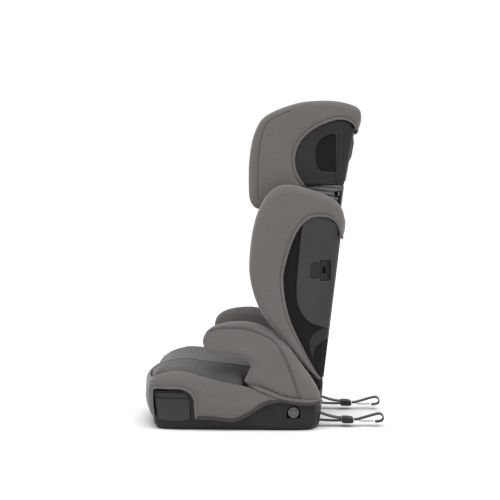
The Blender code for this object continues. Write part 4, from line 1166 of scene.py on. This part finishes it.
def strip_over(name, path, half, bulge, finish, thickness=0.004):
    """A crowned band of cloth over an edge, with a rolled hem at its last end."""
    path = np.asarray(path, float)
    run = lengths(path)
    even = np.unique(np.concatenate([np.linspace(0, run[-1] - 0.014, 24), run[-1] - HEM_ROWS[::-1]]))
    line = along(path, even / run[-1])
    normal = unit_normals(np.gradient(line, axis=0))
    centre = path.mean(axis=0)
    if np.sum((line - centre) * normal) < 0:
        normal = -normal
    steps = np.linspace(-1, 1, 41)
    steps = np.sign(steps) * (1 - (1 - np.abs(steps)) ** 1.6)
    rows = []
    for point, out, distance in zip(line, normal, run[-1] - even):
        edge = 0.0035 * (1 - np.sqrt(np.clip((1 - np.abs(steps)) * half / 0.006, 0, 1)))
        off = bulge * (1 - steps ** 2) + hem_profile(np.array(distance)) - edge
        rows.append(np.stack([point[0] + out[0] * off, steps * half, point[1] + out[1] * off], axis=-1))
    made = grid_object(name, np.array(rows), finish)
    facing_out(made, (centre[0], 0.0, centre[1]))
    return rebuilt(made, ("SOLIDIFY", {"thickness": thickness, "offset": -1.0}))


def crown():
    """Cloth over the top of the headrest, from the pillow to the rear hem."""
    path = smooth([(0.1785, 0.7030), (0.1800, 0.7150), (0.1880, 0.7260), (0.2050, 0.7320),
                   (0.2380, 0.7285), (0.2660, 0.7165), (0.2735, 0.6960), (0.2668, 0.6640)], 8)
    made = strip_over("head_crown", path, 0.1150, 0.0012, FINISHES["grey_fabric"])
    settle(made, "headrest", ("headrest_top",))


def rear_band():
    """Cloth band over the top of the rear panel."""
    path = smooth([(rear_x(0.452) - 0.0070, 0.4520), (rear_x(0.466) - 0.0045, 0.4660),
                   (rear_x(0.470) + 0.0010, 0.4690), (rear_x(0.464) + 0.0050, 0.4630),
                   (rear_x(0.445) + 0.0056, 0.4450), (rear_x(0.425) + 0.0050, 0.4250)], 8)
    made = strip_over("rear_band", path, 0.1500, 0.0010, FINISHES["grey_fabric"], 0.0030)
    settle(made, "backrest", ("back_top_band",))


# ---------------------------------------------------------------- camera, light and floor
CAMERA = Vector((0.1826, -3.5, 0.579))
AIM = Vector((0.0193, 0.0, 0.3923))
FLOOR_SIZE = 14.0
LENS, SENSOR = 108.0, 36.0          # millimetres
AMBIENT = 0.50                     # even light on the object
BACKDROP = 1.05                    # the white that the camera sees behind it
SUNS = (                           # name, direction, strength, width in degrees
    ("key", (0.12, -0.55, 1.0), 2.7, 70),
    ("fill", (-0.5, -1.0, 0.9), 0.45, 90),
    ("rim", (0.3, 0.9, 1.2), 0.6, 90),
)


def soft_sun(name, direction, strength, angle):
    """A broad soft light from a direction."""
    data = bpy.data.lights.new(name, "SUN")
    data.energy = strength
    data.angle = math.radians(angle)
    lamp = bpy.data.objects.new(name, data)
    lamp.rotation_euler = (-Vector(direction)).to_track_quat("-Z", "Y").to_euler()
    bpy.context.scene.collection.objects.link(lamp)


def floor_material():
    """Matt white paper sweep."""
    made, shader, add, tree = new_material("paper_sweep")
    coords = add("ShaderNodeTexCoord").outputs["Object"]
    fibre = add("ShaderNodeTexNoise", links=[(coords, "Vector")], in_Scale=400.0)
    tones = ramp(add, fibre.outputs["Fac"], [(0.3, (0.86, 0.86, 0.86)), (0.7, (0.90, 0.90, 0.90))])
    tree.links.new(tones.outputs["Color"], shader.inputs["Base Color"])
    shader.inputs["Roughness"].default_value = 0.95
    shader.inputs["Specular IOR Level"].default_value = 0.1
    return made


def backdrop(world):
    """White seen behind the object, and a dimmer even light on it."""
    world.use_nodes = True
    tree = world.node_tree
    light = tree.nodes["Background"]
    light.inputs["Color"].default_value = (1.0, 1.0, 1.0, 1.0)
    light.inputs["Strength"].default_value = AMBIENT
    seen = tree.nodes.new("ShaderNodeBackground")
    seen.inputs["Color"].default_value = (1.0, 1.0, 1.0, 1.0)
    seen.inputs["Strength"].default_value = BACKDROP
    rays = tree.nodes.new("ShaderNodeLightPath")
    mix = tree.nodes.new("ShaderNodeMixShader")
    tree.links.new(rays.outputs["Is Camera Ray"], mix.inputs["Fac"])
    tree.links.new(light.outputs["Background"], mix.inputs[1])
    tree.links.new(seen.outputs["Background"], mix.inputs[2])
    tree.links.new(mix.outputs["Shader"], tree.nodes["World Output"].inputs["Surface"])



def studio():
    """White sweep, soft lights and the camera."""
    scene = bpy.context.scene
    scene.view_settings.view_transform = "Standard"
    scene.world = bpy.data.worlds.new("studio")
    backdrop(scene.world)
    size = FLOOR_SIZE
    floor = add_object("floor", [(-size, -size, 0), (size, -size, 0), (size, size, 0),
                                 (-size, size, 0)], [(0, 1, 2, 3)], floor_material())
    for light in SUNS:
        soft_sun(*light)
    data = bpy.data.cameras.new("camera")
    data.lens = LENS
    data.sensor_width = SENSOR
    camera = bpy.data.objects.new("camera", data)
    camera.location = CAMERA
    camera.rotation_euler = (AIM - CAMERA).to_track_quat("-Z", "Y").to_euler()
    scene.collection.objects.link(camera)
    scene.camera = camera


# ---------------------------------------------------------------- build
finish_nodes()
torso_cover()
head_cover()
armrest_pad()
armrest_binding()
seat_pad()
pad_from("back_pad", "torso_pad", "backrest", FINISHES["dark_fabric"], 0.005, 0.006,
         BACK_SEAMS, 0.013)
pad_from("headrest_pillow", "head_pad", "headrest", FINISHES["dark_fabric"], 0.005, 0.006,
         HEAD_SEAMS)
crown()
rear_band()
base_skirt()
shell_panels()
cheek_insert()
head_panels()
neck()
studio()
